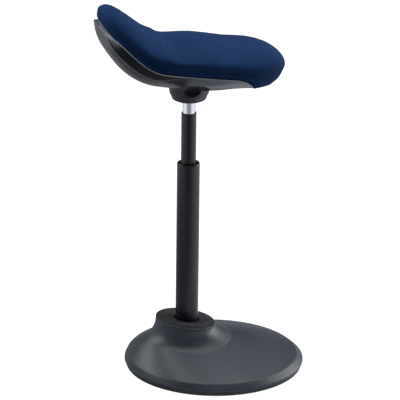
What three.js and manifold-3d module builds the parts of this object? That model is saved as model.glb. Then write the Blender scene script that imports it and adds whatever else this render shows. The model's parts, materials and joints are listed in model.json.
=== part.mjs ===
// Perch stool: a weighted base with an off-centre hub, a three-stage gas column that sways in a
// rubber bearing, and a saddle seat with a raised tail and a waterfall nose.
// Millimetres. The origin is on the floor at the column's axis. +X is the sitter's front,
// +Y the sitter's left and +Z up.

import * as THREE from 'three';
import { mergeVertices } from 'three/addons/utils/BufferGeometryUtils.js';
import Module from 'manifold-3d';

const wasm = await Module();
wasm.setup();

// Clearances and allowances
const seat_gap = 0.3;          // between a piece and the neighbour it is shaped to
const run_gap = 0.3;           // radial running clearance of sliding and turning fits
const overrun = 2;             // how far a cutting tool passes the face it cuts

// Facet counts
const fine_sides = 44;         // the base and the hub
const tube_sides = 32;         // the tubes that show
const bearing_sides = 24;
const round_sides = 20;        // turned pieces inside
const small_sides = 10;
const hex_sides = 6;
const seat_sides = 48;
const dish_sides = 20;
const arc_steps = 3;
const band_steps = 4;          // round the ball, its bush and their seat
const face_steps = 2;
const cove_steps = 5;
const hull_steps = 6;
const pan_steps = 28;
const underside_steps = 4;
const side_steps = 4;
const crown_steps = 6;

// Base
const base_radius = 197.5;
const base_rear_reach = 135;   // from the column's axis back to the rim
const base_lead = base_radius - base_rear_reach;
const tray_height = 11;
const tray_floor = 3;
const tray_wall = 4;
const tray_flare = 4;          // the tray's side leans out by this to meet the rim
const tray_chamfer = 1.2;
const plate_thickness = 8;
const plate_margin = 1;
const plate_chamfer = 1;
const pedestal_radius = 84;
const pedestal_height = 6;
const pedestal_draft = 5;
const rim_lean = 9.5;          // how far the rim leans in from its foot to the crease
const crease_radius = base_radius - rim_lean;
const crease_set_back = 4.5;
const crease_lead = base_lead - crease_set_back;
const crease_height = 26.5;
const rim_shoulder = 14.5;       // the rim stands upright up to here, then leans in to the crease
const face_bulge = 1.5;
const face_rear_bulge = 3;
const rear_span_shares = [0.2, 1];
const cover_wall = 3;
const cover_screw_margin = 47.5;  // from the rim in to the screws' circle
const cover_screw_circle = base_radius - cover_screw_margin;
const cover_boss_radius = 8;
const cover_pilot_depth = 16;

// Hub
const hub_height = 111;        // centre of the hub's top plane
const hub_tilt = THREE.MathUtils.degToRad(7.3);
const hub_radius = 66;
const hub_lead = -3;           // the hub's centre ahead of the column
const collar_thickness = 4;
const collar_width = 12;
const collar_chamfer = 0.8;
const ledge_width = 6;         // how far the cover reaches in under the boot
const boot_rise = 2.6;
const boot_round = 2.4;
const boot_dish = 0.6;
const boot_dish_width = 6;
const sway_room = 2.5;         // free space round the column in the boot
const foot_lead = 6;           // the foot line of the hub: a circle seen from above
const foot_radius = 94;
const foot_height = 61;        // beside the column
const foot_front_rise = 12;
const foot_rear_rise = 12;
const crisp_span_shares = [0.2, 0.7];
const cove_slope_share = 0.85;

// Sway bearing
const pivot_height = 76;
const ball_radius = 34;
const ball_half_height = 19;
const bush_thickness = 9;
const bush_half_height = 17;
const bearing_lip = 2;
const bearing_wall = 6;
const bearing_fillet = 4;
const bearing_flange_radius = 78;
const bearing_flange_thickness = 6;
const bearing_bolt_circle = 69;
const bearing_joint_radius = 60;
const bearing_joint_thickness = 5;
const retainer_bolt_circle = 54.8;
const retainer_slope = 5;

// Column
const tube_radius = 25;
const tube_wall = 2;
const tube_chamfer = 1;
const tube_bottom = 44;
const tube_top = 473;
const tube_floor = 6;
const outer_bush_flange = 6;
const outer_bush_depth = 34;
const outer_bush_chamfer = 3.5;
const middle_radius = 16.5;
const middle_wall = 1.2;
const middle_bottom = 165;
const middle_top = 591;
const middle_bush_flange = 4;
const middle_bush_depth = 28;
const middle_bush_round = 1;
const foot_ring_height = 20;
const foot_ring_lead_in = 1.5;
const cylinder_radius = 14;
const cylinder_wall = 1.5;
const cylinder_bottom = 195;
const cylinder_top = 655;
const cylinder_seal = 8;
const cylinder_head = 28;
const taper_length = 26;
const taper_reduction = 0.8;
const rod_radius = 5;
const rod_foot = 35;
const rod_top = 306;
const rod_shoulder_radius = 8.5;
const rod_shoulder_height = 3;
const rod_spigot_radius = 3;
const rod_spigot_length = 8;
const clip_groove_depth = 1;
const clip_groove_height = 2;
const clip_groove_offset = 2.5;
const clip_radius = 8;
const clip_slot = 3;
const washer_radius = 10;
const washer_thickness = 2;
const bearing_race_radius = 14;
const bearing_race_height = 7;
const bearing_race_groove = 1;
const piston_height = 12;
const piston_groove_depth = 1.2;
const piston_groove_height = 3;
const pin_radius = 4;
const pin_length = 34;
const pin_rise = 6;
const pin_round = 1;

// Seat line: it runs from the tail to the nose, and is straight over the column
const seat_line_height = 710;
const seat_pitch = THREE.MathUtils.degToRad(9);
const straight_rear = 77;
const tail_bend_radius = 130;
const tail_bend_length = 75;
const tail_end_radius = 405;
const straight_front = 70;
const nose_bend_radius = 230;

// Seat outline and hull
const seat_rear = 250;
const seat_front = 212;
const seat_half_width = 106;
const outline_length_power_share = 2.7;
const outline_width_power_share = 2.3;
const hull_depth = 52;
const hull_power_share = 3;
const hull_tail_power_share = 2;
const hull_front_loss_share = 0.9;
const hull_front_length = 185;
const shell_front = 156;       // the shell's edge under the nose
const nose_span_shares = [0.28, 1];
const shell_wall = 3;
const wall_growth_share = 0.7;
const lip_height = 1.5;
const band_height = 17;        // the upright band under the shell's lip, at the tail
const band_start = 20;
const band_end = 110;
const band_tip_height = 5;
const band_tip_start = 190;
const shell_opening_radius = 40;
const rib_thickness = 2.5;
const rib_drop = 28;           // the ribs' tops lie this far under the seat line
const pan_thickness = 9;
const pan_inset = 12;
const pan_end_share = 0.99;
const pan_front_inset = 44;

// Cushion
const cushion_crown = 54.5;
const cushion_waist_crown = 43;
const cushion_tail_crown = 56;
const cushion_nose_crown = 84;
const waist_start = -20;
const waist_end = 70;
const tail_crown_start = 42;
const tail_crown_end = 97;
const nose_crown_start = 75;
const nose_crown_end = 200;
const widest_rise = 13;
const nose_rise = 31;          // how much higher the widest line runs round the nose
const nose_set_back = 27;
const crown_power_share = 3;
const end_power_share = 6.3;
const end_span_shares = [0.4, 1];
const cushion_bulge = 4;
const nose_reach = 16.6;
const tail_widest_rise = 28;   // the widest line runs higher round the tail, over an undercut
const tail_side_start = 25;
const tail_side_end = 60;
const tail_undercut = 9;
const tail_overhang = 7.7;
const tail_span_shares = [0.3, 1];
const cushion_gap = 0.6;       // between the underside and the pan or the shell's lip
const hem_width = 8;
const nose_hem_width = 0.5;
const nose_gap = 1;

// Mechanism housing under the seat
const cup_bottom = 626;
const cup_floor = 5;
const cup_wall = 3;
const cup_bottom_radius = 28;
const cup_low_radius = 35.5;
const cup_low_rise = 5;
const cup_mid_radius = 38;
const cup_mid_rise = 10;
const cup_high_radius = 43;
const cup_high_rise = 16;
const cup_top_radius = 48;
const cup_top_rise = 50;
const cup_floor_radius = 29.5;
const scoop_radius = 27;
const scoop_wall = 3;
const scoop_reach = 52;
const scoop_lead = -6;
const scoop_rise = 42;         // centre of the scoop above the cup's bottom
const scoop_flatten_share = 0.8;
const window_width = 26;
const window_bottom = 650;
const window_top = 676;

// Seat bracket
const bracket_plate = 3;
const bracket_length = 112;
const bracket_width = 96;
const bracket_bolt_along = 44;
const bracket_bolt_across = 38;
const cheek_spacing = 38;
const cheek_thickness = 3;
const cheek_half_width = 17;
const cheek_front_reach = 24;  // the wider upper part that carries the paddle's pin
const cheek_step_height = 652;
const socket_wall = 4;
const socket_bottom = 631;
const bracket_floor = 3;

// Release paddle
const paddle_width = 22;
const paddle_thickness = 4;
const paddle_pivot_reach = 16;
const paddle_pivot_rise = 9;
const paddle_hub_radius = 5.5;
const paddle_pin_radius = 2.5;
const paddle_pin_overhang = 1.5;
const paddle_crank_reach = 30;
const paddle_tip_reach = 44;
const paddle_tip_drop = 9;
const paddle_inner_reach = 6;

// Fasteners
const bolt_head_radius = 5;
const bolt_head_height = 4;
const bolt_shank_radius = 3;
const bolt_room = 1;           // round a sunk bolt head
const screw_head_radius = 4.2;
const screw_head_height = 3;
const screw_shank_radius = 2;
const screw_room = 0.8;        // round a sunk screw head
const shell_screw_along = 95;
const shell_screw_across = 58;
const shell_screw_drop = 20;   // the screw head's seat lies this far under the seat line
const shell_boss_radius = 7;
const screw_bite = 6;          // how far screws reach into the pan
const bolt_bite = 12;          // how far the bearing's bolts reach into the pedestal

// Shape helpers

// A closed geometry, as a solid that can be joined and cut.
function solidOf(geometry) {
  const bare = geometry.clone();
  bare.deleteAttribute('normal');
  bare.deleteAttribute('uv');
  const merged = mergeVertices(bare);
  const corners = merged.index.array;
  const kept = [];
  for (let i = 0; i < corners.length; i += 3) {
    const [a, b, c] = [corners[i], corners[i + 1], corners[i + 2]];
    if (a !== b && b !== c && c !== a) kept.push(a, b, c);
  }
  return new wasm.Manifold(new wasm.Mesh({
    numProp: 3,
    vertProperties: merged.attributes.position.array,
    triVerts: new Uint32Array(kept),
  }));
}

function geometryOf(solid) {
  const mesh = solid.getMesh();
  const geometry = new THREE.BufferGeometry();
  geometry.setAttribute('position', new THREE.BufferAttribute(mesh.vertProperties, 3));
  geometry.setIndex(new THREE.BufferAttribute(mesh.triVerts, 1));
  return geometry;
}

// A profile of [radius, height] pairs turned round the Z axis.
function turned(profile, sides = round_sides) {
  const points = profile.map(([radius, height]) => new THREE.Vector2(radius, height));
  const onAxis = profile[0][0] === 0;
  if (!onAxis) points.push(points[0].clone());
  return new THREE.LatheGeometry(points, sides).rotateX(Math.PI / 2);
}

function rod(radius, bottom, top, sides = round_sides) {
  return turned([[0, bottom], [radius, bottom], [radius, top], [0, top]], sides);
}

function block(sizeX, sizeY, bottom, top) {
  return new THREE.BoxGeometry(sizeX, sizeY, top - bottom).translate(0, 0, (bottom + top) / 2);
}

// A closed skin over rings of points. Each ring runs counter-clockwise seen from above, and the
// rings run up the outside. Poles close the ends, and without poles the last ring meets the first.
function skin(rings, bottomPole = null, topPole = null) {
  const count = rings[0].length;
  const points = rings.flat();
  const faces = [];
  const corner = (ring, i) => ring * count + (i % count);
  const spans = bottomPole ? rings.length - 1 : rings.length;
  for (let ring = 0; ring < spans; ring++) {
    const next = (ring + 1) % rings.length;
    for (let i = 0; i < count; i++) {
      faces.push(corner(ring, i), corner(ring, i + 1), corner(next, i + 1));
      faces.push(corner(ring, i), corner(next, i + 1), corner(next, i));
    }
  }
  if (bottomPole) {
    const low = points.push(bottomPole) - 1;
    const high = points.push(topPole) - 1;
    for (let i = 0; i < count; i++) {
      faces.push(low, corner(0, i + 1), corner(0, i));
      faces.push(high, corner(rings.length - 1, i), corner(rings.length - 1, i + 1));
    }
  }
  const geometry = new THREE.BufferGeometry().setFromPoints(points);
  geometry.setIndex(faces);
  return geometry;
}

function ringOf(count, pointAt) {
  return Array.from({ length: count }, (_, i) => pointAt((2 * Math.PI * i) / count));
}

// Points on an arc in a profile, from one angle to another, as [radius, height] pairs.
function arc(centreRadius, centreHeight, radius, from, to, steps) {
  return Array.from({ length: steps + 1 }, (_, i) => {
    const angle = from + ((to - from) * i) / steps;
    return [centreRadius + radius * Math.cos(angle), centreHeight + radius * Math.sin(angle)];
  });
}

function union(...solids) {
  return solids.reduce((all, one) => all.add(one));
}

function cut(solid, ...tools) {
  return tools.reduce((left, tool) => left.subtract(tool), solid);
}

function around(count, radius, startAngle, lead = 0) {
  return Array.from({ length: count }, (_, i) => {
    const angle = startAngle + (2 * Math.PI * i) / count;
    return [lead + radius * Math.cos(angle), radius * Math.sin(angle)];
  });
}

// Finishes

const finish = (color, roughness, metalness = 0) => () =>
  new THREE.MeshStandardMaterial({ color, roughness, metalness });
const rubber = finish(0x17181a, 0.85);
const cast_iron = finish(0x3a3b3d, 0.75, 0.6);
const cover_plastic = finish(0x4b4f57, 0.4);
const collar_plastic = finish(0x1d1f22, 0.5);
const steel = finish(0x8c8f93, 0.4, 1);
const painted_tube = finish(0x1a1c20, 0.3);
const guide_plastic = finish(0x101114, 0.45);
const chrome = finish(0xe2e5e8, 0.08, 1);
const shell_plastic = finish(0x2b2d31, 0.35);
const board = finish(0x9b7a52, 0.8);
const fabric = finish(0x243961, 0.95);
const paddle_plastic = finish(0x111214, 0.5);

const stool = new THREE.Group();

function add(name, shape, material) {
  const geometry = shape.isBufferGeometry ? shape : geometryOf(shape);
  const mesh = new THREE.Mesh(geometry, material());
  mesh.name = name;
  stool.add(mesh);
}

// Base

const plate_bottom = tray_floor;
const plate_top = plate_bottom + plate_thickness;
const pedestal_top = plate_top + pedestal_height;
const sink_top = plate_bottom + bolt_head_height + seat_gap;
const cover_screws = around(4, cover_screw_circle, Math.PI / 4, base_lead);
const bearing_bolts = around(4, bearing_bolt_circle, Math.PI / 4);
const retainer_bolts = around(4, retainer_bolt_circle, 0);

function holes(places, radius, bottom, top) {
  const drill = ([x, y]) => solidOf(rod(radius, bottom, top, small_sides).translate(x, y, 0));
  return union(...places.map(drill));
}

function footTray() {
  const foot = base_radius - tray_flare;
  return turned([
    [0, 0],
    [foot - tray_chamfer, 0],
    [foot, tray_chamfer],
    [base_radius, tray_height],
    [base_radius - tray_wall, tray_height],
    [foot - tray_wall, tray_floor],
    [0, tray_floor],
  ], fine_sides).translate(base_lead, 0, 0);
}

function ballastPlate() {
  const radius = base_radius - tray_flare - tray_wall - plate_margin;
  const disc = turned([
    [0, plate_bottom],
    [radius - plate_chamfer, plate_bottom],
    [radius, plate_bottom + plate_chamfer],
    [radius, plate_top - plate_chamfer],
    [radius - plate_chamfer, plate_top],
    [0, plate_top],
  ], fine_sides).translate(base_lead, 0, 0);
  const pedestal = turned([
    [0, plate_top - overrun],
    [pedestal_radius + pedestal_draft, plate_top - overrun],
    [pedestal_radius + pedestal_draft, plate_top],
    [pedestal_radius, pedestal_top],
    [0, pedestal_top],
  ]);
  return cut(
    union(solidOf(disc), solidOf(pedestal)),
    holes(cover_screws, bolt_shank_radius + seat_gap, 0, pedestal_top + overrun),
    holes(cover_screws, bolt_head_radius + bolt_room, 0, sink_top),
    holes(bearing_bolts, bolt_shank_radius + seat_gap, 0, pedestal_top + overrun),
  );
}

// A point in the hub's tilted frame: on a circle round its axis, at a height from its top plane.
function hubPoint(radius, rise, angle) {
  return new THREE.Vector3(radius * Math.cos(angle), radius * Math.sin(angle), rise)
    .applyAxisAngle(new THREE.Vector3(0, 1, 0), hub_tilt)
    .add(new THREE.Vector3(hub_lead, 0, hub_height));
}

function inHub(geometry) {
  return geometry.rotateY(hub_tilt).translate(hub_lead, 0, hub_height);
}

// The foot line: a circle seen from above, higher ahead of the column and behind it.
function rearShare(angle) {
  return THREE.MathUtils.smoothstep(-Math.cos(angle), ...rear_span_shares);
}

function footPoint(inset, angle) {
  const x = foot_lead + (foot_radius - inset) * Math.cos(angle);
  const y = (foot_radius - inset) * Math.sin(angle);
  const rise = x > foot_lead ? foot_front_rise : foot_rear_rise;
  return new THREE.Vector3(x, y, foot_height - inset + rise * Math.cos(angle) ** 2);
}

function basePoint(radius, height, angle) {
  return new THREE.Vector3(
    base_lead + radius * Math.cos(angle), radius * Math.sin(angle), height);
}

// The control point of the cove from the hub's edge down to the foot line. Ahead of the column it
// lies level with the foot line, which leaves a crisp edge, and elsewhere it rises with the face.
function covePoint(hub, foot, crease, angle) {
  const reach = Math.hypot(foot.x - hub.x, foot.y - hub.y);
  const run = Math.hypot(crease.x - foot.x, crease.y - foot.y);
  const smooth = foot.z + (cove_slope_share * reach * (foot.z - crease.z)) / run;
  const crisp = THREE.MathUtils.smoothstep(Math.cos(angle), ...crisp_span_shares);
  const height = THREE.MathUtils.lerp(Math.min(smooth, hub.z), foot.z, crisp);
  return new THREE.Vector3(hub.x, hub.y, height);
}

// The base's outside, or with an inset its inside: rim, face, cove and hub.
function baseRings(inset, ledge) {
  const bottom = tray_height - (inset > 0 ? overrun : 0);
  const outer = base_radius - inset;
  const crease = (a) => new THREE.Vector3(
    crease_lead + (crease_radius - inset) * Math.cos(a),
    (crease_radius - inset) * Math.sin(a),
    crease_height - inset);
  const rings = [
    ringOf(fine_sides, (a) => basePoint(outer, bottom, a)),
    ringOf(fine_sides, (a) => basePoint(outer, rim_shoulder, a)),
    ringOf(fine_sides, crease),
  ];
  for (let step = 1; step < face_steps; step++) {
    const share = step / face_steps;
    rings.push(ringOf(fine_sides, (a) => facePoint(crease(a), footPoint(inset, a), share, a)));
  }
  for (let step = 0; step <= cove_steps; step++) {
    rings.push(ringOf(fine_sides, (a) => {
      const hub = hubPoint(hub_radius - inset, ledge, a);
      const foot = footPoint(inset, a);
      const bend = covePoint(hub, foot, crease(a), a);
      return new THREE.QuadraticBezierCurve3(foot, bend, hub).getPoint(step / cove_steps);
    }));
  }
  return skin(rings, new THREE.Vector3(base_lead, 0, bottom), hubPoint(0, ledge, 0));
}

// The face swells a little between the crease and the foot line, and more behind the column.
function facePoint(crease, foot, share, angle) {
  const bulge = THREE.MathUtils.lerp(face_bulge, face_rear_bulge, rearShare(angle));
  const swell = bulge * 4 * share * (1 - share);
  return crease.lerp(foot, share).add(new THREE.Vector3(0, 0, swell));
}

function baseCover() {
  const ledge = -collar_thickness - seat_gap;
  const outside = solidOf(baseRings(0, ledge));
  const inside = solidOf(baseRings(cover_wall, ledge - cover_wall));
  const opening = solidOf(inHub(rod(
    hub_radius - collar_width - ledge_width, -hub_height / 2, overrun)));
  const bosses = holes(cover_screws, cover_boss_radius, plate_top, hub_height).intersect(outside);
  const pilot_top = plate_top + cover_pilot_depth;
  return cut(
    union(cut(outside, inside), bosses),
    opening,
    holes(cover_screws, bolt_shank_radius + seat_gap, 0, pilot_top),
  );
}

function collarRing() {
  const outer = hub_radius;
  const inner = hub_radius - collar_width;
  return inHub(turned([
    [inner, -collar_thickness],
    [outer, -collar_thickness],
    [outer, -collar_chamfer],
    [outer - collar_chamfer, 0],
    [inner + collar_chamfer, 0],
    [inner, -collar_chamfer],
  ], fine_sides));
}

// The soft boot: a rounded disc that stands a little proud of the collar, dished to its hole.
function hubBoot() {
  const outer = hub_radius - collar_width - seat_gap;
  const hole = tube_radius + sway_room;
  const disc = inHub(turned([
    [0, -collar_thickness],
    [outer, -collar_thickness],
    ...arc(outer - boot_round, boot_rise - boot_round, boot_round, 0, Math.PI / 2, arc_steps),
    [hole + boot_dish_width, boot_rise - boot_dish],
    [hole, boot_rise - 2 * boot_dish],
    [0, boot_rise - 2 * boot_dish],
  ], fine_sides));
  const through = rod(hole, hub_height - hub_radius, hub_height + hub_radius, tube_sides);
  return cut(solidOf(disc), solidOf(through));
}

// Sway bearing

const ball_seat = ball_radius + run_gap;
const bush_outer = ball_seat + bush_thickness;
const bearing_seat = bush_outer + run_gap;
const bearing_outer = bearing_seat + bearing_wall;
const bearing_bottom = pivot_height - bush_half_height - bearing_lip;
const bearing_top = pivot_height + bush_half_height + bearing_lip;

// Half of a band of a sphere, as profile points, between two heights from its centre.
function sphereBand(radius, from, to) {
  const [start, end] = [from, to].map((height) => Math.asin(height / radius));
  return arc(0, pivot_height, radius, start, end, band_steps);
}

function bearingHousing() {
  const lowest = pivot_height - bearing_bottom;
  const mouth = Math.sqrt(bearing_seat ** 2 - lowest ** 2);
  const body = turned([
    [mouth, pedestal_top],
    [bearing_flange_radius, pedestal_top],
    [bearing_flange_radius, pedestal_top + bearing_flange_thickness],
    [bearing_outer + bearing_fillet, pedestal_top + bearing_flange_thickness],
    [bearing_outer, pedestal_top + bearing_flange_thickness + bearing_fillet],
    [bearing_outer, pivot_height - bearing_joint_thickness],
    [bearing_joint_radius, pivot_height - bearing_joint_thickness],
    [bearing_joint_radius, pivot_height],
    ...sphereBand(bearing_seat, 0, -lowest),
  ], bearing_sides);
  return cut(
    solidOf(body),
    holes(bearing_bolts, bolt_shank_radius + seat_gap, 0, pivot_height / 2),
    holes(retainer_bolts, screw_shank_radius + seat_gap, pivot_height / 2, bearing_top),
  );
}

function bearingRetainer() {
  const highest = bearing_top - pivot_height;
  const mouth = Math.sqrt(bearing_seat ** 2 - highest ** 2);
  const body = turned([
    [bearing_seat, pivot_height],
    [bearing_joint_radius, pivot_height],
    [bearing_joint_radius, pivot_height + bearing_joint_thickness],
    [bearing_outer, pivot_height + bearing_joint_thickness],
    [bearing_outer, bearing_top - retainer_slope],
    [mouth + bearing_wall, bearing_top],
    ...sphereBand(bearing_seat, highest, 0).slice(0, -1),
  ], bearing_sides);
  return cut(
    solidOf(body),
    holes(retainer_bolts, screw_shank_radius + seat_gap, pivot_height / 2, bearing_top),
  );
}

function swayBush() {
  return turned([
    ...sphereBand(bush_outer, -bush_half_height, bush_half_height),
    ...sphereBand(ball_seat, bush_half_height, -bush_half_height),
  ], bearing_sides);
}

function swayBall() {
  const bore = tube_radius + seat_gap;
  return turned([
    ...sphereBand(ball_radius, -ball_half_height, ball_half_height),
    [bore, pivot_height + ball_half_height],
    [bore, pivot_height - ball_half_height],
  ], bearing_sides);
}

// A hexagon-headed bolt with its head's bearing face at a height, and its shank down or up.
function bolt(x, y, seat, length, headSide) {
  const head = new THREE.CylinderGeometry(
    bolt_head_radius, bolt_head_radius, bolt_head_height, hex_sides)
    .rotateX(Math.PI / 2).translate(0, 0, (headSide * bolt_head_height) / 2);
  const inside = (headSide * bolt_head_height) / 2;
  const shank = rod(bolt_shank_radius, Math.min(inside, -headSide * length),
    Math.max(inside, -headSide * length), small_sides);
  return union(solidOf(head), solidOf(shank)).translate([x, y, seat]);
}

function coverScrew(x, y) {
  return bolt(x, y, sink_top, plate_top - sink_top + cover_pilot_depth - seat_gap, -1);
}

function housingBolt(x, y) {
  const seat = pedestal_top + bearing_flange_thickness;
  return bolt(x, y, seat, bearing_flange_thickness + bolt_bite, 1);
}

function retainerBolt(x, y) {
  const seat = pivot_height + bearing_joint_thickness;
  const end = pivot_height - bearing_joint_thickness - screw_shank_radius;
  const head = rod(screw_head_radius, seat, seat + screw_head_height, small_sides);
  const shank = rod(screw_shank_radius, end, seat + screw_head_height / 2, small_sides);
  return union(solidOf(head), solidOf(shank)).translate([x, y, 0]);
}

// Column

const tube_floor_top = tube_bottom + tube_floor;
const tube_bore = tube_radius - tube_wall;
const middle_bore = middle_radius - middle_wall;
const middle_run = middle_radius + run_gap;
const cylinder_run = cylinder_radius + run_gap;
const cylinder_bore = cylinder_radius - cylinder_wall;
const race_top = tube_floor_top + bearing_race_height;
const rod_run = rod_radius + run_gap;

function outerTube() {
  return turned([
    [rod_run, tube_bottom],
    [tube_radius - tube_chamfer, tube_bottom],
    [tube_radius, tube_bottom + tube_chamfer],
    [tube_radius, tube_top],
    [tube_bore, tube_top],
    [tube_bore, tube_floor_top],
    [rod_run, tube_floor_top],
  ], tube_sides);
}

function outerGuideBush() {
  return turned([
    [middle_run, tube_top - outer_bush_depth],
    [tube_bore - seat_gap, tube_top - outer_bush_depth],
    [tube_bore - seat_gap, tube_top],
    [tube_radius, tube_top],
    [tube_radius, tube_top + outer_bush_flange - outer_bush_chamfer],
    [tube_radius - outer_bush_chamfer, tube_top + outer_bush_flange],
    [middle_run, tube_top + outer_bush_flange],
  ], tube_sides);
}

function thrustBearing() {
  const middle = (tube_floor_top + race_top) / 2;
  return turned([
    [rod_run, tube_floor_top],
    [bearing_race_radius, tube_floor_top],
    [bearing_race_radius, middle - bearing_race_groove],
    [bearing_race_radius - bearing_race_groove, middle],
    [bearing_race_radius, middle + bearing_race_groove],
    [bearing_race_radius, race_top],
    [rod_run, race_top],
  ]);
}

function pistonRod() {
  const groove = rod_foot + clip_groove_offset;
  const shoulder = race_top + run_gap;
  return turned([
    [0, rod_foot],
    [rod_radius, rod_foot],
    [rod_radius, groove],
    [rod_radius - clip_groove_depth, groove],
    [rod_radius - clip_groove_depth, groove + clip_groove_height],
    [rod_radius, groove + clip_groove_height],
    [rod_radius, shoulder],
    [rod_shoulder_radius, shoulder],
    [rod_shoulder_radius, shoulder + rod_shoulder_height],
    [rod_radius, shoulder + rod_shoulder_height],
    [rod_radius, rod_top],
    [rod_spigot_radius, rod_top],
    [rod_spigot_radius, rod_top + rod_spigot_length],
    [0, rod_top + rod_spigot_length],
  ]);
}

function rodWasher() {
  const top = tube_bottom - run_gap;
  return turned([
    [rod_run, top - washer_thickness],
    [washer_radius, top - washer_thickness],
    [washer_radius, top],
    [rod_run, top],
  ]);
}

function retainingClip() {
  const bottom = rod_foot + clip_groove_offset + seat_gap;
  const top = bottom + clip_groove_height - 2 * seat_gap;
  const inner = rod_radius - clip_groove_depth + seat_gap;
  const ring = turned([[inner, bottom], [clip_radius, bottom], [clip_radius, top], [inner, top]]);
  const slot = block(2 * clip_radius, clip_slot, bottom - overrun, top + overrun)
    .translate(clip_radius, 0, 0);
  return cut(solidOf(ring), solidOf(slot));
}

function gasPiston() {
  const radius = cylinder_bore - run_gap;
  const socket = rod_spigot_radius + seat_gap;
  const top = rod_top + piston_height;
  const low = rod_top + (piston_height - piston_groove_height) / 2;
  return turned([
    [0, rod_top + rod_spigot_length + seat_gap],
    [socket, rod_top + rod_spigot_length + seat_gap],
    [socket, rod_top],
    [radius, rod_top],
    [radius, low],
    [radius - piston_groove_depth, low],
    [radius - piston_groove_depth, low + piston_groove_height],
    [radius, low + piston_groove_height],
    [radius, top],
    [0, top],
  ]);
}

function middleTube() {
  return turned([
    [middle_bore, middle_bottom],
    [middle_radius, middle_bottom],
    [middle_radius, middle_top],
    [middle_bore, middle_top],
  ], tube_sides);
}

function middleFootRing() {
  const outer = tube_bore - run_gap;
  const top = middle_bottom + foot_ring_height;
  return turned([
    [middle_radius + seat_gap, middle_bottom],
    [outer - foot_ring_lead_in, middle_bottom],
    [outer, middle_bottom + foot_ring_lead_in],
    [outer, top - foot_ring_lead_in],
    [outer - foot_ring_lead_in, top],
    [middle_radius + seat_gap, top],
  ]);
}

function middleGuideBush() {
  const top = middle_top + middle_bush_flange;
  const round = arc(middle_radius - middle_bush_round, top - middle_bush_round,
    middle_bush_round, 0, Math.PI / 2, arc_steps);
  return turned([
    [cylinder_run, middle_top - middle_bush_depth],
    [middle_bore - seat_gap, middle_top - middle_bush_depth],
    [middle_bore - seat_gap, middle_top],
    [middle_radius, middle_top],
    ...round,
    [cylinder_run, top],
  ], tube_sides);
}

function gasCylinder() {
  const crown = cylinder_radius - taper_reduction;
  return turned([
    [rod_run, cylinder_bottom],
    [cylinder_radius, cylinder_bottom],
    [cylinder_radius, cylinder_top - taper_length],
    [crown, cylinder_top],
    [pin_radius + run_gap, cylinder_top],
    [pin_radius + run_gap, cylinder_top - cylinder_head],
    [cylinder_bore, cylinder_top - cylinder_head],
    [cylinder_bore, cylinder_bottom + cylinder_seal],
    [rod_run, cylinder_bottom + cylinder_seal],
  ], tube_sides);
}

function releasePin() {
  const top = cylinder_top + pin_rise;
  return turned([
    [0, top - pin_length],
    [pin_radius, top - pin_length],
    [pin_radius, top - pin_round],
    [pin_radius - pin_round, top],
    [0, top],
  ], small_sides);
}

// Seat line: the seat's own coordinates are a distance along the line from over the column
// (ahead is positive), a distance to the sitter's left, and a height square to the line.

function walked(sections) {
  const place = { x: 0, z: seat_line_height, angle: -seat_pitch };
  for (const [length, bend] of sections) {
    const turn = place.angle + bend * length;
    if (bend === 0) {
      place.x += length * Math.cos(turn);
      place.z += length * Math.sin(turn);
    } else {
      place.x += (Math.sin(turn) - Math.sin(place.angle)) / bend;
      place.z += (Math.cos(place.angle) - Math.cos(turn)) / bend;
    }
    place.angle = turn;
  }
  return place;
}

function seatLine(along) {
  if (along >= 0) {
    const straight = Math.min(along, straight_front);
    return walked([[straight, 0], [along - straight, -1 / nose_bend_radius]]);
  }
  const straight = Math.min(-along, straight_rear);
  const bent = Math.min(-along - straight, tail_bend_length);
  const rest = -along - straight - bent;
  return walked([
    [-straight, 0], [-bent, 1 / tail_bend_radius], [-rest, 1 / tail_end_radius]]);
}

function seatPoint(along, across, rise) {
  const place = seatLine(along);
  return new THREE.Vector3(
    place.x - rise * Math.sin(place.angle), across, place.z + rise * Math.cos(place.angle));
}

// The outline where fabric and shell meet, as a superellipse with a longer rear half.
function outlineLength(along) {
  return along < 0 ? seat_rear : seat_front;
}

function outline(angle) {
  const along = Math.cos(angle);
  const across = Math.sin(angle);
  return {
    along: outlineLength(along) * Math.sign(along)
      * Math.abs(along) ** (2 / outline_length_power_share),
    across: seat_half_width * Math.sign(across)
      * Math.abs(across) ** (2 / outline_width_power_share),
  };
}

function halfWidthAt(along) {
  const share = Math.min(1, Math.abs(along) / outlineLength(along));
  const left = 1 - share ** outline_length_power_share;
  return seat_half_width * left ** (1 / outline_width_power_share);
}

// The upright band under the lip: only the lip's own height along the sides and the front, and
// taller round the tail, where a crease marks its lower edge.
function bandAt(along) {
  const rise = THREE.MathUtils.smoothstep(-along, band_start, band_end);
  const fall = THREE.MathUtils.smoothstep(-along, band_tip_start, seat_rear);
  const full = THREE.MathUtils.lerp(band_height, band_tip_height, fall);
  return THREE.MathUtils.lerp(lip_height, full, rise);
}

// How deep the shell's keel hangs under the seat line.
function keelDepth(along) {
  if (along < 0) {
    const share = Math.min(1, -along / seat_rear);
    return hull_depth * (1 - share ** hull_tail_power_share);
  }
  return hull_depth * (1 - hull_front_loss_share * (along / hull_front_length) ** 2);
}

// Height of the shell's outside under the seat line: a hull whose sides slope in to the keel.
// With an inset it is the height of the inside.
function hullRise(along, across, inset) {
  const width = halfWidthAt(along);
  const share = width > 0 ? Math.min(1, Math.abs(across) / width) : 1;
  const band = bandAt(along);
  const depth = keelDepth(along) * (1 - share ** hull_power_share);
  const wall = inset * (1 + wall_growth_share * share ** hull_power_share);
  return wall - band - depth * (1 - band / hull_depth);
}

// How far out along the outline's radius the shell's edge lies: all the way round the sides and
// the tail, and short of the nose, where the fabric wraps under.
function shellShare(angle) {
  return 1 - noseShare(angle) * (1 - shell_front / seat_front);
}

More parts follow.
